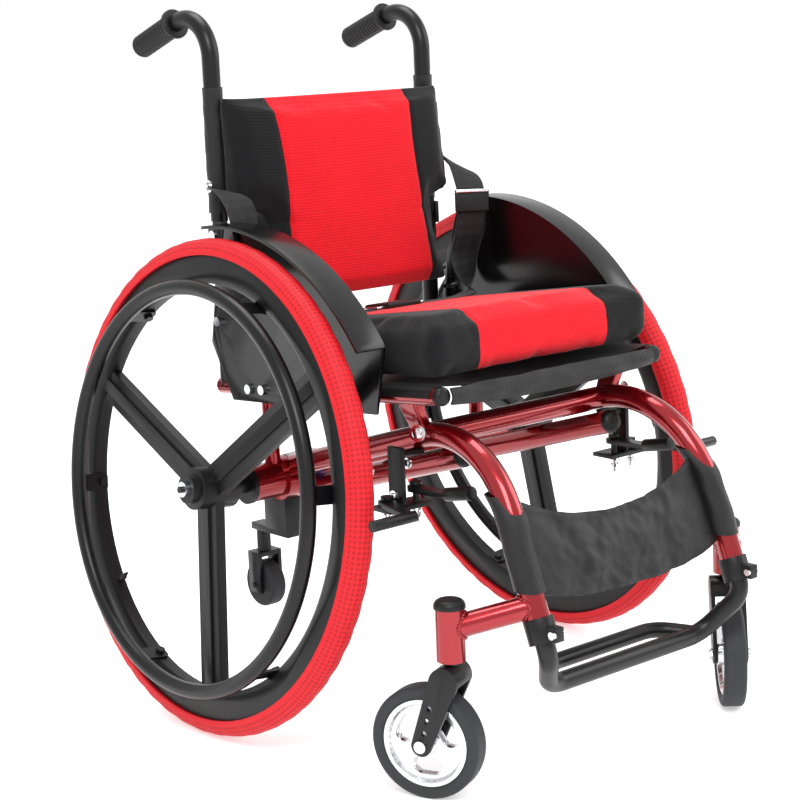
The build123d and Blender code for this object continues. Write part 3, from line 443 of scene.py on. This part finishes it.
def swell(piece, cap, pressure=4.0, voxel=0.006, limits=None):
    # cloth blown up from inside, each point held to within cap of where it began
    pick(piece)
    skin = piece.modifiers.new("skin", "REMESH")
    skin.mode = "VOXEL"
    skin.voxel_size = voxel
    bpy.ops.object.modifier_apply(modifier="skin")
    start = [vertex.co.copy() for vertex in piece.data.vertices]
    cloth = piece.modifiers.new("blown", "CLOTH")
    cloth.settings.use_pressure = True
    cloth.settings.uniform_pressure_force = pressure
    cloth.settings.effector_weights.gravity = 0
    cloth.settings.tension_stiffness = 12
    cloth.settings.compression_stiffness = 12
    for number in range(1, 21):
        bpy.context.scene.frame_set(number)
    bpy.ops.object.modifier_apply(modifier="blown")
    bpy.context.scene.frame_set(1)
    for vertex, was in zip(piece.data.vertices, start):
        move = vertex.co - was
        if move.length > cap:
            vertex.co = was + move * (cap / move.length)
    finer = piece.modifiers.new("finer", "SUBSURF")
    finer.levels = finer.render_levels = 1
    bpy.ops.object.modifier_apply(modifier="finer")
    if limits:
        for vertex in piece.data.vertices:
            vertex.co = limits(vertex.co)
    return piece


# Rear wheels
tyreFacts = {"crown": 0.305, "section": 0.0172, "bead": 0.2842, "columns": 960, "rows": 48, "pitch": 0.0062,
             "depth": 0.0009, "valveTurn": -142, "valveReach": 0.021}


def wheelMatrix(side):
    joint = joints[f"rear_wheel_{side}_spin"]
    outboard = Vector(joint["axis"]) * sides[side]
    return frameAt(joint["pos_m"], outboard, (0, -1, 0)), outboard


def treadTyre(side, facts):
    deselect()
    middle = facts["crown"] - facts["section"]
    bpy.ops.mesh.primitive_torus_add(major_radius=middle, minor_radius=facts["section"],
                                     major_segments=facts["columns"], minor_segments=facts["rows"])
    tyre = bpy.context.object
    tyre.name = "treadTyre_" + side
    for vertex in tyre.data.vertices:
        around = math.atan2(vertex.co.y, vertex.co.x)
        reach = math.hypot(vertex.co.x, vertex.co.y)
        lean = math.atan2(vertex.co.z, reach - middle)
        length = math.hypot(vertex.co.z, reach - middle)
        if abs(lean) < 1.5:
            turns = round(2 * math.pi * facts["crown"] / facts["pitch"])
            u = around / (2 * math.pi) * turns
            v = lean * facts["section"] / facts["pitch"]
            lump = math.cos(math.pi * (u + v)) * math.cos(math.pi * (u - v))
            fade = min(1, (1.5 - abs(lean)) / 0.35)
            length -= facts["depth"] * fade * (0.5 - 0.5 * max(-1, min(1, lump * 2.6)))
        reach = max(middle + length * math.cos(lean), facts["bead"])
        vertex.co = Vector((math.cos(around) * reach, math.sin(around) * reach, length * math.sin(lean)))
    turns = round(2 * math.pi * facts["crown"] / facts["pitch"])
    layer = tyre.data.uv_layers[0].data
    for face in tyre.data.polygons:
        middleTurn = math.atan2(face.center.y, face.center.x)
        for index in face.loop_indices:
            point = tyre.data.vertices[tyre.data.loops[index].vertex_index].co
            turn = math.remainder(math.atan2(point.y, point.x) - middleTurn, 2 * math.pi) + middleTurn
            lean = math.atan2(point.z, math.hypot(point.x, point.y) - middle)
            layer[index].uv = (turn / (2 * math.pi) * turns, lean * facts["section"] / facts["pitch"])
    matrix, outboard = wheelMatrix(side)
    settle(tyre, matrix)
    smooth(tyre, 60)
    finishPiece(tyre, redRubber, "rear_wheel_" + side, ["tyre_" + side])
    turn = math.radians(facts["valveTurn"])
    radial = matrix.to_3x3() @ Vector((math.cos(turn), math.sin(turn) * sides[side] * -1, 0))
    if radial.z > 0:
        radial = matrix.to_3x3() @ Vector((math.cos(turn), -math.sin(turn) * sides[side] * -1, 0))
    reach = facts["valveReach"]
    profile = [(0.0035, 0), (0.0035, 0.006), (0.0042, 0.0065), (0.0042, 0.012), (0.0030, 0.0125),
               (0.0030, 0.016), (0.0024, reach - 0.004), (0.0018, reach)]
    valve = turned("valve_" + side, profile, 16)
    settle(valve, frameAt(Vector(joints[f"rear_wheel_{side}_spin"]["pos_m"]) + radial * 0.2505, -radial))
    finishPiece(valve, mouldedNylon, "rear_wheel_" + side)


for side in sides:
    treadTyre(side, tyreFacts)
print("tyres and valves")

# Hard parts with eased edges
for side in sides:
    softened("side_guard_" + side, "frame", 0.0016, 3)
    softened("wheel_rim_" + side, "rear_wheel_" + side, 0.0018, 2)
    softened("caster_fork_" + side, "caster_swivel_" + side, 0.0012)
    softened("caster_hub_" + side, "caster_wheel_" + side, 0.0008)
    softened("brake_lever_" + side, "brake_lever_" + side, 0.0012)
    softened("brake_shoe_" + side, "brake_shoe_" + side, 0.001)
softened("brake_brackets", "frame", 0.001)
softened("anti_tip_arm", "frame", 0.0014)
softened("leg_clamps", "frame", 0.001)
softened("hinge_stubs", "frame", 0.001)
softened("seat_posts", "frame", 0.0012)
print("hard parts eased")

# Seat cushion: sloped block, crowned and sewn, red between two seams
seatFacts = {"inset": 0.008, "cap": 0.011, "crown": 0.006, "seam": 0.104, "seamDepth": 0.0022,
             "seamWidth": 0.0022,
             "wall": 0.1918}


def seatTop(y):
    return 0.530 - 0.13 * (y - seatLow.y)


def seatBottom(y):
    return 0.4602 - 0.0823 * (y - seatLow.y) + 0.0008


seatLow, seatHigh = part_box("seat_cushion")


def makeSeat(facts):
    deselect()
    bpy.ops.mesh.primitive_cube_add(size=2)
    seat = bpy.context.object
    seat.name = "seatCushion"
    inset = facts["inset"]
    for vertex in seat.data.vertices:
        y = seatLow.y + inset if vertex.co.y < 0 else seatHigh.y - inset
        z = seatTop(y) - inset if vertex.co.z > 0 else seatBottom(y) + inset * 0.4
        vertex.co = Vector((math.copysign(seatHigh.x - inset * 0.7, vertex.co.x), y, z))
    edges = seat.modifiers.new("edges", "BEVEL")
    edges.width = 0.016
    edges.segments = 4
    applyAll(seat)

    def hold(place):
        place = place.copy()
        place.x = max(-facts["wall"], min(facts["wall"], place.x))
        place.y = max(seatLow.y - 0.004, min(seatHigh.y, place.y))
        place.z = max(seatBottom(place.y), place.z)
        share = max(0.0, 1 - (place.x / 0.19) ** 2)
        if place.z > seatTop(place.y) - 0.03:
            place.z += facts["crown"] * share * 0.5
        near = (abs(abs(place.x) - facts["seam"])) / facts["seamWidth"]
        if near < 3 and place.z > seatBottom(place.y) + 0.002:
            dip = facts["seamDepth"] * math.exp(-near * near)
            if place.y < seatLow.y + 0.012:
                place.y += dip
            else:
                place.z -= dip
        return place

    swell(seat, facts["cap"], 4.0, 0.006, hold)
    smooth(seat, 70)
    finishPiece(seat, seatCloth, "frame", ["seat_cushion"])


makeSeat(seatFacts)
print("seat cushion")

# Back cushion: leans back, narrow between the hinges
backLow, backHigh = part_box("back_cushion")
backFacts = {"inset": 0.006, "cap": 0.012, "rear": backHigh.y - 0.0004, "narrow": 0.151, "shoulder": 0.626,
             "seamDepth": 0.0022, "seamWidth": 0.0024,
             "front": [(0.496, 0.104), (0.540, 0.111), (0.670, 0.130), (0.786, 0.150)]}


def alongLine(line, z):
    # a value read off (height, value) points
    for (lowZ, lowValue), (highZ, highValue) in zip(line, line[1:]):
        if z <= highZ:
            return lowValue + (highValue - lowValue) * (z - lowZ) / (highZ - lowZ)
    return line[-1][1]


def backFront(z):
    return alongLine(backFacts["front"], z)


def makeBack(facts):
    deselect()
    bpy.ops.mesh.primitive_cube_add(size=2)
    back = bpy.context.object
    back.name = "backCushion"
    pick(back)
    bpy.ops.object.mode_set(mode="EDIT")
    bpy.ops.mesh.select_all(action="SELECT")
    bpy.ops.mesh.subdivide(number_cuts=24)
    bpy.ops.object.mode_set(mode="OBJECT")
    inset = facts["inset"]
    low, high = backLow.z + inset, backHigh.z - inset
    for vertex in back.data.vertices:
        z = low + (vertex.co.z + 1) / 2 * (high - low)
        share = max(0.0, min(1.0, (z - facts["shoulder"] + 0.012) / 0.03))
        half = facts["narrow"] - inset + (backHigh.x - facts["narrow"]) * share * share * (3 - 2 * share)
        y = backFront(z) + inset * 0.8 if vertex.co.y < 0 else facts["rear"] - inset * 0.4
        middle = (backFront(z) + facts["rear"]) / 2
        y = middle + (y - middle) * abs(vertex.co.y)
        vertex.co = Vector((vertex.co.x * half, y, z))
    applyAll(back)

    def hold(place):
        place = place.copy()
        place.x = max(-0.1915, min(0.1915, place.x))
        place.y = min(facts["rear"], place.y)
        crown = max(0.0, 1 - (place.x / 0.2) ** 2)
        if place.y < backFront(place.z) + 0.02:
            place.y -= 0.004 * crown
        near = abs(abs(place.x) - alongLine(backSeams, place.z)) / facts["seamWidth"]
        if near < 3 and place.y < facts["rear"] - 0.002:
            dip = facts["seamDepth"] * math.exp(-near * near)
            if place.z > backHigh.z - 0.008:
                place.z -= dip
            else:
                place.y += dip
        place.z = min(place.z, backHigh.z + 0.004)
        return place

    swell(back, facts["cap"], 4.0, 0.006, hold)
    smooth(back, 70)
    finishPiece(back, backCloth, "backrest", ["back_cushion"])


makeBack(backFacts)
print("back cushion")

# Cloth sleeves round the back tubes
sleeveFacts = {"radius": 0.0128, "low": 0.628, "high": 0.784, "rows": 40, "steps": 36, "crease": 0.0009}


def makeSleeves(facts):
    tubeY = joints["backrest_fold"]["pos_m"][1]
    for side, sign in sides.items():
        deselect()
        bpy.ops.mesh.primitive_cylinder_add(vertices=facts["steps"], radius=1, depth=2,
                                            end_fill_type="NOTHING")
        sleeve = bpy.context.object
        sleeve.name = "backSleeve_" + side
        bpy.ops.object.mode_set(mode="EDIT")
        bpy.ops.mesh.select_all(action="SELECT")
        bpy.ops.mesh.subdivide(number_cuts=facts["rows"])
        bpy.ops.object.mode_set(mode="OBJECT")
        height = facts["high"] - facts["low"]
        for vertex in sleeve.data.vertices:
            turn = math.atan2(vertex.co.y, vertex.co.x)
            z = facts["low"] + (vertex.co.z + 1) / 2 * height
            crease = noise.noise(Vector((math.cos(turn) * 1.2, math.sin(turn) * 1.2, z * 60)))
            radius = facts["radius"] + facts["crease"] * crease
            vertex.co = Vector((sign * 0.174 + radius * math.cos(turn), tubeY + radius * math.sin(turn), z))
        wall = sleeve.modifiers.new("wall", "SOLIDIFY")
        wall.thickness = 0.0008
        applyAll(sleeve)
        smooth(sleeve, 60)
        finishPiece(sleeve, nylonCloth, "backrest")


makeSleeves(sleeveFacts)

# Sling: cloth wrapped over both rails, sagging between them, with a hemmed flap hanging at the front
slingLow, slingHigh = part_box("seat_sling")
slingFacts = {"radius": 0.0124, "railX": 0.174, "sag": 0.011, "rows": 60, "across": 60, "flap": 0.020}


def railHeight(y):
    return 0.440 - 0.0823 * (y + 0.228)


def makeSling(facts):
    rows, across = facts["rows"], facts["across"]
    deselect()
    bpy.ops.mesh.primitive_grid_add(x_subdivisions=across, y_subdivisions=rows, size=2)
    sling = bpy.context.object
    sling.name = "seatSling"
    frontY, rearY = slingLow.y, slingHigh.y
    railX, radius = facts["railX"], facts["radius"]
    for vertex in sling.data.vertices:
        s, t = vertex.co.x, (vertex.co.y + 1) / 2
        y = frontY + (rearY - frontY) * t
        if abs(s) > 0.9:
            turn = math.radians(90 - 95 * (abs(s) - 0.9) / 0.1)
            x = railX + radius * math.cos(turn)
            z = railHeight(y) + radius * math.sin(turn)
        else:
            x = railX * abs(s) / 0.9
            ripple = noise.noise(Vector((s * 3, t * 5, 1))) * 0.0015 * (1 - abs(s) / 0.9)
            z = railHeight(y) + radius - facts["sag"] * (1 - (abs(s) / 0.9) ** 2) + ripple
        vertex.co = Vector((math.copysign(x, s), y, z))
    wall = sling.modifiers.new("wall", "SOLIDIFY")
    wall.thickness = 0.0016
    wall.offset = -1
    applyAll(sling)
    smooth(sling, 60)
    finishPiece(sling, nylonCloth, "frame", ["seat_sling"])
    deselect()
    bpy.ops.mesh.primitive_grid_add(x_subdivisions=72, y_subdivisions=10, size=2)
    flap = bpy.context.object
    flap.name = "slingFlap"
    for vertex in flap.data.vertices:
        s, t = vertex.co.x, (1 - vertex.co.y) / 2
        x = s * 0.166
        drop = facts["flap"] * (1 + 0.35 * (1 - s * s))
        z = railHeight(frontY) + radius - 0.002 - drop * t + 0.0015 * noise.noise(Vector((s * 4, t, 5)))
        wander = noise.noise(Vector((s * 6, t * 2, 2)))
        y = seatLow.y + 0.001 - 0.0035 * math.sin(t * math.pi) + 0.002 * wander
        vertex.co = Vector((x, y, z))
    wall = flap.modifiers.new("wall", "SOLIDIFY")
    wall.thickness = 0.0024
    applyAll(flap)
    smooth(flap, 60)
    finishPiece(flap, nylonCloth, "frame")


makeSling(slingFacts)
print("sling")

# Calf strap: a nylon band sewn round each leg, hanging slack between them
strapFacts = {"slope": 0.379, "kneeAhead": 0.380, "kneeZ": 0.416, "legX": 0.163, "radius": 0.0166,
              "low": 0.237,
              "high": 0.337, "top": 0.302, "bottom": 0.214}


def legY(z):
    return axleY - strapFacts["kneeAhead"] - strapFacts["slope"] * (strapFacts["kneeZ"] - z)


def makeStrap(facts):
    deselect()
    bpy.ops.mesh.primitive_grid_add(x_subdivisions=110, y_subdivisions=36, size=2)
    panel = bpy.context.object
    panel.name = "calfPanel"
    half = facts["legX"] - 0.0138
    for vertex in panel.data.vertices:
        s, t = vertex.co.x, (vertex.co.y + 1) / 2
        dip = 1 - abs(s) ** 2.4
        top = facts["top"] + 0.030 * abs(s) ** 2.2 - 0.006 * dip
        bottom = facts["bottom"] + 0.016 * abs(s) ** 3 - 0.002 * dip
        z = bottom + (top - bottom) * t
        fold = noise.noise(Vector((s * 5, t * 3.2, 0.4)))
        pucker = noise.noise(Vector((s * 13, t * 8, 3)))
        crease = fold * 0.0045 + pucker * 0.0018
        hem = 0.0008 * math.exp(-((min(t, 1 - t) - 0.06) / 0.02) ** 2)
        slack = 0.010 * dip * math.sin(math.pi * min(1, t * 1.1))
        y = legY(z) + 0.002 - slack * 0.5 + crease * dip - hem
        vertex.co = Vector((s * half, y, z))
    wall = panel.modifiers.new("wall", "SOLIDIFY")
    wall.thickness = 0.0014
    applyAll(panel)
    smooth(panel, 60)
    finishPiece(panel, nylonCloth, "frame", ["calf_strap"])
    for side, sign in sides.items():
        deselect()
        bpy.ops.mesh.primitive_cylinder_add(vertices=48, radius=1, depth=2, end_fill_type="NOTHING")
        sleeve = bpy.context.object
        sleeve.name = "calfSleeve_" + side
        bpy.ops.object.mode_set(mode="EDIT")
        bpy.ops.mesh.select_all(action="SELECT")
        bpy.ops.mesh.subdivide(number_cuts=28)
        bpy.ops.object.mode_set(mode="OBJECT")
        height = facts["high"] - facts["low"]
        for vertex in sleeve.data.vertices:
            turn = math.atan2(vertex.co.y, vertex.co.x)
            z = facts["low"] + (vertex.co.z + 1) / 2 * height
            crease = noise.noise(Vector((math.cos(turn) * 1.5, math.sin(turn) * 1.5, z * 40 + sign)))
            radius = facts["radius"] + 0.0011 * crease + 0.0008 * math.cos(turn * 2)
            inward = max(0.0, z - 0.281) / 0.1
            x = sign * (facts["legX"] - 0.0115 * inward ** 1.15)
            forward = 0.0125 * max(0.0, (z - 0.302) / 0.036) ** 1.9
            y = legY(z) + forward + radius * 1.08 * math.sin(turn)
            vertex.co = Vector((x + radius * math.cos(turn), y, z))
        wall = sleeve.modifiers.new("wall", "SOLIDIFY")
        wall.thickness = 0.0012
        applyAll(sleeve)
        smooth(sleeve, 60)
        finishPiece(sleeve, nylonCloth, "frame")


makeStrap(strapFacts)
print("calf strap")

# Push grips: flange, ribs and a domed end
gripFacts = {"corner": (0.174, 0.179, 0.889), "drop": 18.9, "start": 0.076, "end": 0.164, "ribs": 13}


def makeGrips(facts):
    drop = math.radians(facts["drop"])
    profile = [(0.0114, 0), (0.0185, 0.0003), (0.0192, 0.0012), (0.0192, 0.004), (0.0184, 0.0050),
               (0.0148, 0.0056)]
    length = facts["end"] - facts["start"]
    pitch = (length - 0.016) / facts["ribs"]
    for rib in range(facts["ribs"]):
        base = 0.007 + rib * pitch
        profile += [(0.0138, base), (0.0150, base + pitch * 0.22), (0.0150, base + pitch * 0.72),
                    (0.0138, base + pitch * 0.94)]
    profile += [(0.0150, length - 0.008), (0.0150, length - 0.004), (0.0135, length - 0.001),
                (0.0100, length)]
    for side, sign in sides.items():
        grip = turned("pushGrip_" + side, profile, 40)
        x, y, z = facts["corner"]
        along = Vector((0, math.cos(drop), -math.sin(drop)))
        settle(grip, frameAt(Vector((sign * x, y, z)) + along * facts["start"], along))
        smooth(grip, 50)
        finishPiece(grip, gripRubber, "backrest", ["push_grips"] if side == "right" else ())


makeGrips(gripFacts)

# Lap belt: webbing from the back tubes, turned at a slider, across the seat to a plain tongue buckle
beltFacts = {"half": 0.0185, "thick": 0.0018, "bendStart": (0, 0.12, 0.63), "bendEnd": (0, 0.09, 0.515)}


def seatAt(y, lift):
    return seatTop(y) + lift


def makeBelt(facts):
    lift = 0.0055
    far = curveThrough([
        (0.184, 0.150, 0.668), (0.182, 0.118, 0.660), (0.179, 0.098, 0.638), (0.178, 0.093, 0.610),
        (0.176, 0.098, 0.575), (0.175, 0.108, 0.540), (0.172, 0.098, 0.512),
        (0.164, 0.083, seatAt(0.083, lift + 0.004)), (0.140, 0.060, seatAt(0.060, lift + 0.003)),
        (0.100, 0.038, seatAt(0.038, lift)), (0.050, 0.031, seatAt(0.031, lift)),
        (0.009, 0.030, seatAt(0.030, lift))], 8)
    near = curveThrough([
        (-0.186, 0.160, 0.656), (-0.190, 0.136, 0.656), (-0.186, 0.118, 0.640), (-0.184, 0.110, 0.605),
        (-0.181, 0.107, 0.560), (-0.179, 0.105, 0.525), (-0.175, 0.096, 0.503),
        (-0.163, 0.080, seatAt(0.080, lift + 0.004)), (-0.140, 0.058, seatAt(0.058, lift + 0.002)),
        (-0.100, 0.036, seatAt(0.036, lift)), (-0.070, 0.031, seatAt(0.031, lift)),
        (-0.050, 0.030, seatAt(0.030, lift))], 8)
    # which way the webbing's width points at each of those places
    acrossFar = [(0.5, -0.3, -0.7), (0.7, -0.5, -0.4), (0.77, -0.64, 0), (0.77, -0.64, 0), (0.8, -0.58, 0),
                 (0.9, -0.35, 0.1), (0.9, 0.3, 0.15), (0.5, 0.86, -0.05), (0.2, 0.97, -0.1),
                 (0.05, 0.99, -0.12), (0, 0.99, -0.12),
                 (0, 0.99, -0.12)]
    near = curveThrough([(-0.186, 0.160, 0.656), (-0.190, 0.136, 0.656), (-0.186, 0.118, 0.640),
                         (-0.184, 0.110, 0.605), (-0.181, 0.107, 0.560), (-0.179, 0.105, 0.525),
                         (-0.175, 0.096, 0.503), (-0.163, 0.080, seatAt(0.080, lift + 0.004)),
                         (-0.140, 0.058, seatAt(0.058, lift + 0.002)), (-0.100, 0.036, seatAt(0.036, lift)),
                         (-0.070, 0.031, seatAt(0.031, lift)), (-0.050, 0.030, seatAt(0.030, lift))], 8)
    acrossNear = [(-0.35, 0.9, 0.2), (-0.7, 0.6, 0.2), (-0.95, 0.3, 0), (-1, 0.12, 0), (-1, 0.08, 0),
                  (-0.95, 0.2, 0.1), (-0.8, 0.6, 0.1), (-0.5, 0.86, -0.05), (-0.2, 0.97, -0.1),
                  (-0.05, 0.99, -0.12), (0, 0.99, -0.12), (0, 0.99, -0.12)]
    for side, line, across in (("left", far, acrossFar), ("right", near, acrossNear)):
        acrossLine = curveThrough(across, 8)
        strap = ribbon("beltStrap_" + side, list(zip(line, acrossLine)), facts["half"], facts["thick"])
        finishPiece(strap, beltWebbing, None, ["belt_" + side])
        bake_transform(strap)


makeBelt(beltFacts)
print("belt and grips")

# Weld beads where the caster arms meet the housings and the legs
weldFacts = {"armRadius": 0.0138, "bead": 0.0021, "ripple": 0.0006, "count": 26,
             "leg": (0.163, -0.4539, 0.221), "housing": (0.232, -0.392, 0.198), "housingRadius": 0.0166,
             "legRadius": 0.0145, "legSlope": (0, 0.379, 1)}


def onCylinder(point, direction, axisPoint, axisDirection, radius):
    # moves a point along direction to a cylinder's near surface
    axis = Vector(axisDirection).normalized()
    offset = point - axisPoint
    flatOffset = offset - axis * offset.dot(axis)
    flatWay = direction - axis * direction.dot(axis)
    a, b, c = flatWay.dot(flatWay), 2 * flatOffset.dot(flatWay), flatOffset.dot(flatOffset) - radius * radius
    root = max(0.0, b * b - 4 * a * c) ** 0.5
    return point + direction * ((-b - root) / (2 * a))


def weldBead(name, start, direction, axisPoint, axisDirection, radius, facts):
    deselect()
    bpy.ops.mesh.primitive_torus_add(major_radius=facts["armRadius"], minor_radius=facts["bead"],
                                     major_segments=104, minor_segments=8)
    bead = bpy.context.object
    bead.name = name
    matrix = frameAt(start, direction)
    for vertex in bead.data.vertices:
        turn = math.atan2(vertex.co.y, vertex.co.x)
        ring = Vector((math.cos(turn), math.sin(turn), 0)) * facts["armRadius"]
        away = (vertex.co - ring) * (1 + facts["ripple"] / facts["bead"] * math.cos(turn * facts["count"]))
        surface = onCylinder(matrix @ ring, direction, axisPoint, axisDirection, radius)
        vertex.co = surface + matrix.to_3x3() @ away
    smooth(bead, 180)
    return bead


def makeWelds(facts):
    for side, sign in sides.items():
        leg = Vector((sign * facts["leg"][0], axleY + facts["leg"][1], facts["leg"][2]))
        housing = Vector((sign * facts["housing"][0], axleY + facts["housing"][1], facts["housing"][2]))
        outward = (housing - leg).normalized()
        middle = (leg + housing) / 2
        beads = [
            weldBead("housingWeld_" + side, middle, outward, housing, (0, 0, 1), facts["housingRadius"],
                     facts),
            weldBead("legWeld_" + side, middle, -outward, leg, facts["legSlope"], facts["legRadius"], facts),
        ]
        for bead in beads:
            finishPiece(bead, candyRedPaint, "frame")


makeWelds(weldFacts)

# Bright fasteners: domed bolts on washers, and nutted studs under the brake brackets
boltFacts = {
    "postBolt": {"spot": (0.1725, -0.187, 0.392), "way": (1, -0.45, 0.15), "head": 0.0062, "tall": 0.0055},
    "braceBolt": {"spot": (0.166, -0.157, 0.352), "way": (1, -0.2, 0), "head": 0.0042, "tall": 0.004},
    "platedBolt": {"spot": (0.191, -0.119, 0.342), "way": (1, 0, 0), "head": 0.0042, "tall": 0.004},
    "lowerBolt": {"spot": (0.191, -0.162, 0.318), "way": (1, 0, 0), "head": 0.0042, "tall": 0.004},
}
studPlaces = [(0.166, -0.266), (0.186, -0.250), (0.204, -0.258)]
studFacts = {
    "foot": 0.3045,
    "profile": [(0.0062, 0), (0.0062, 0.005), (0.0034, 0.0052), (0.0034, 0.0095), (0.0052, 0.0097),
                (0.0052, 0.0135), (0.0030, 0.0137), (0.0030, 0.020)],
}


def domedBolt(name, spot, way, head, tall):
    bolt = turned(name, [(head * 1.6, -0.002), (head * 1.6, 0.0012), (head, 0.0013), (head, tall * 0.55),
                         (head * 0.86, tall * 0.85), (head * 0.5, tall)], 24)
    settle(bolt, frameAt(spot, way))
    smooth(bolt, 40)
    finishPiece(bolt, platedSteel, "frame")


for side, sign in sides.items():
    for name, facts in boltFacts.items():
        x, y, z = facts["spot"]
        way = (sign * facts["way"][0], facts["way"][1], facts["way"][2])
        domedBolt(f"{name}_{side}", (sign * x, y, z), way, facts["head"], facts["tall"])
    for number, (x, ahead) in enumerate(studPlaces):
        stud = turned(f"brakeStud{number}_{side}", studFacts["profile"], 18)
        settle(stud, frameAt((sign * x, axleY + ahead, studFacts["foot"]), (0, 0, -1)))
        smooth(stud, 40)
        finishPiece(stud, platedSteel, "frame")
print("welds and fasteners")


def plate(name, matrix, size, bevel, material, body):
    deselect()
    bpy.ops.mesh.primitive_cube_add(size=1)
    piece = bpy.context.object
    piece.name = name
    piece.data.transform(Matrix.Diagonal((*size, 1)))
    eased = piece.modifiers.new("eased", "BEVEL")
    eased.width = bevel
    eased.segments = 3
    applyAll(piece)
    settle(piece, matrix)
    smooth(piece, 45)
    return finishPiece(piece, material, body)


# Belt fittings: a slider on the left strap and the buckle's plated tongue
sliderMatrix = frameAt((0.1768, 0.0905, 0.616), (-0.64, -0.77, 0.08), (0.77, -0.64, 0))
bodySize = (0.046, 0.030, 0.006)
slider = [plate("sliderBody", sliderMatrix, bodySize, 0.0018, mouldedNylon, None)]
barMatrix = sliderMatrix @ Matrix.Translation((0, 0.013, 0.0036))
slider.append(plate("sliderBar", barMatrix, (0.044, 0.005, 0.0045), 0.0018, platedSteel, None))
for piece in slider:
    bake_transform(piece)
softened("belt_buckle", "frame", 0.003, 4)
buckleLow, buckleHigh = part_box("belt_buckle")
buckleMiddle = (buckleLow + buckleHigh) / 2
tongueMatrix = frameAt(buckleMiddle + Vector((0.031, 0, 0.001)), (0, 0.13, 1), (1, 0, 0))
plate("buckleTongue", tongueMatrix, (0.020, 0.026, 0.004), 0.0012, platedSteel, "frame")
backMatrix = frameAt(buckleMiddle + Vector((-0.031, 0, 0.001)), (0, 0.13, 1), (1, 0, 0))
plate("buckleLoop", backMatrix, (0.014, 0.030, 0.004), 0.0012, platedSteel, "frame")

# Plain film label on the right end of the axle tube: a white field over a blue band
labelFacts = {"radius": 0.0284, "near": -0.155, "far": -0.112, "turns": (-12, 66), "bandTurns": (66, 84)}


def makeLabel(name, turns, material, facts):
    deselect()
    bpy.ops.mesh.primitive_grid_add(x_subdivisions=2, y_subdivisions=16, size=2)
    label = bpy.context.object
    label.name = name
    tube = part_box("axle_tube")
    middle = (tube[0] + tube[1]) / 2
    for vertex in label.data.vertices:
        x = facts["near"] + (facts["far"] - facts["near"]) * (vertex.co.x + 1) / 2
        turn = math.radians(turns[0] + (turns[1] - turns[0]) * (vertex.co.y + 1) / 2)
        radius = facts["radius"]
        vertex.co = Vector((x, middle.y - radius * math.sin(turn), middle.z + radius * math.cos(turn)))
    wall = label.modifiers.new("wall", "SOLIDIFY")
    wall.thickness = 0.0003
    applyAll(label)
    smooth(label, 60)
    finishPiece(label, material, "frame")


makeLabel("labelField", labelFacts["turns"], labelFilm, labelFacts)
makeLabel("labelBand", labelFacts["bandTurns"], labelInk, labelFacts)
print("belt fittings and label")

# Floor and light
lightFacts = {"floor": 60.0, "world": 1.0}
deselect()
bpy.ops.mesh.primitive_grid_add(x_subdivisions=4, y_subdivisions=4, size=lightFacts["floor"])
floor = bpy.context.object
floor.name = "floor"
floorPaint, tree, shader, coords = startMaterial("floorPaint", "#f4f4f5", 0.6, Emission_Color=(1, 1, 1, 1),
                                                 Emission_Strength=0.42)
floor.data.materials.append(floorPaint)
world = bpy.data.worlds.new("studio")
bpy.context.scene.world = world
world.use_nodes = True
world.node_tree.nodes["Background"].inputs[0].default_value = (1, 1, 1, 1)
world.node_tree.nodes["Background"].inputs[1].default_value = lightFacts["world"]
lamps = {
    "keyLamp": {"spot": (-1.6, -1.8, 2.6), "aim": (0, 0, 0.4), "size": 1.4, "power": 55},
    "fillLamp": {"spot": (2.2, -1.4, 1.8), "aim": (0, 0, 0.4), "size": 1.8, "power": 30},
    "topLamp": {"spot": (0.1, 0.6, 3.0), "aim": (0, 0, 0.5), "size": 1.6, "power": 40},
}
for name, facts in lamps.items():
    bpy.ops.object.light_add(type="AREA", location=facts["spot"])
    lamp = bpy.context.object
    lamp.name = name
    lamp.data.size = facts["size"]
    lamp.data.energy = facts["power"]
    lamp.rotation_euler = (Vector(facts["aim"]) - Vector(facts["spot"])).to_track_quat("-Z", "Y").to_euler()
bpy.context.scene.view_settings.view_transform = "Standard"
print("stage and lamps")
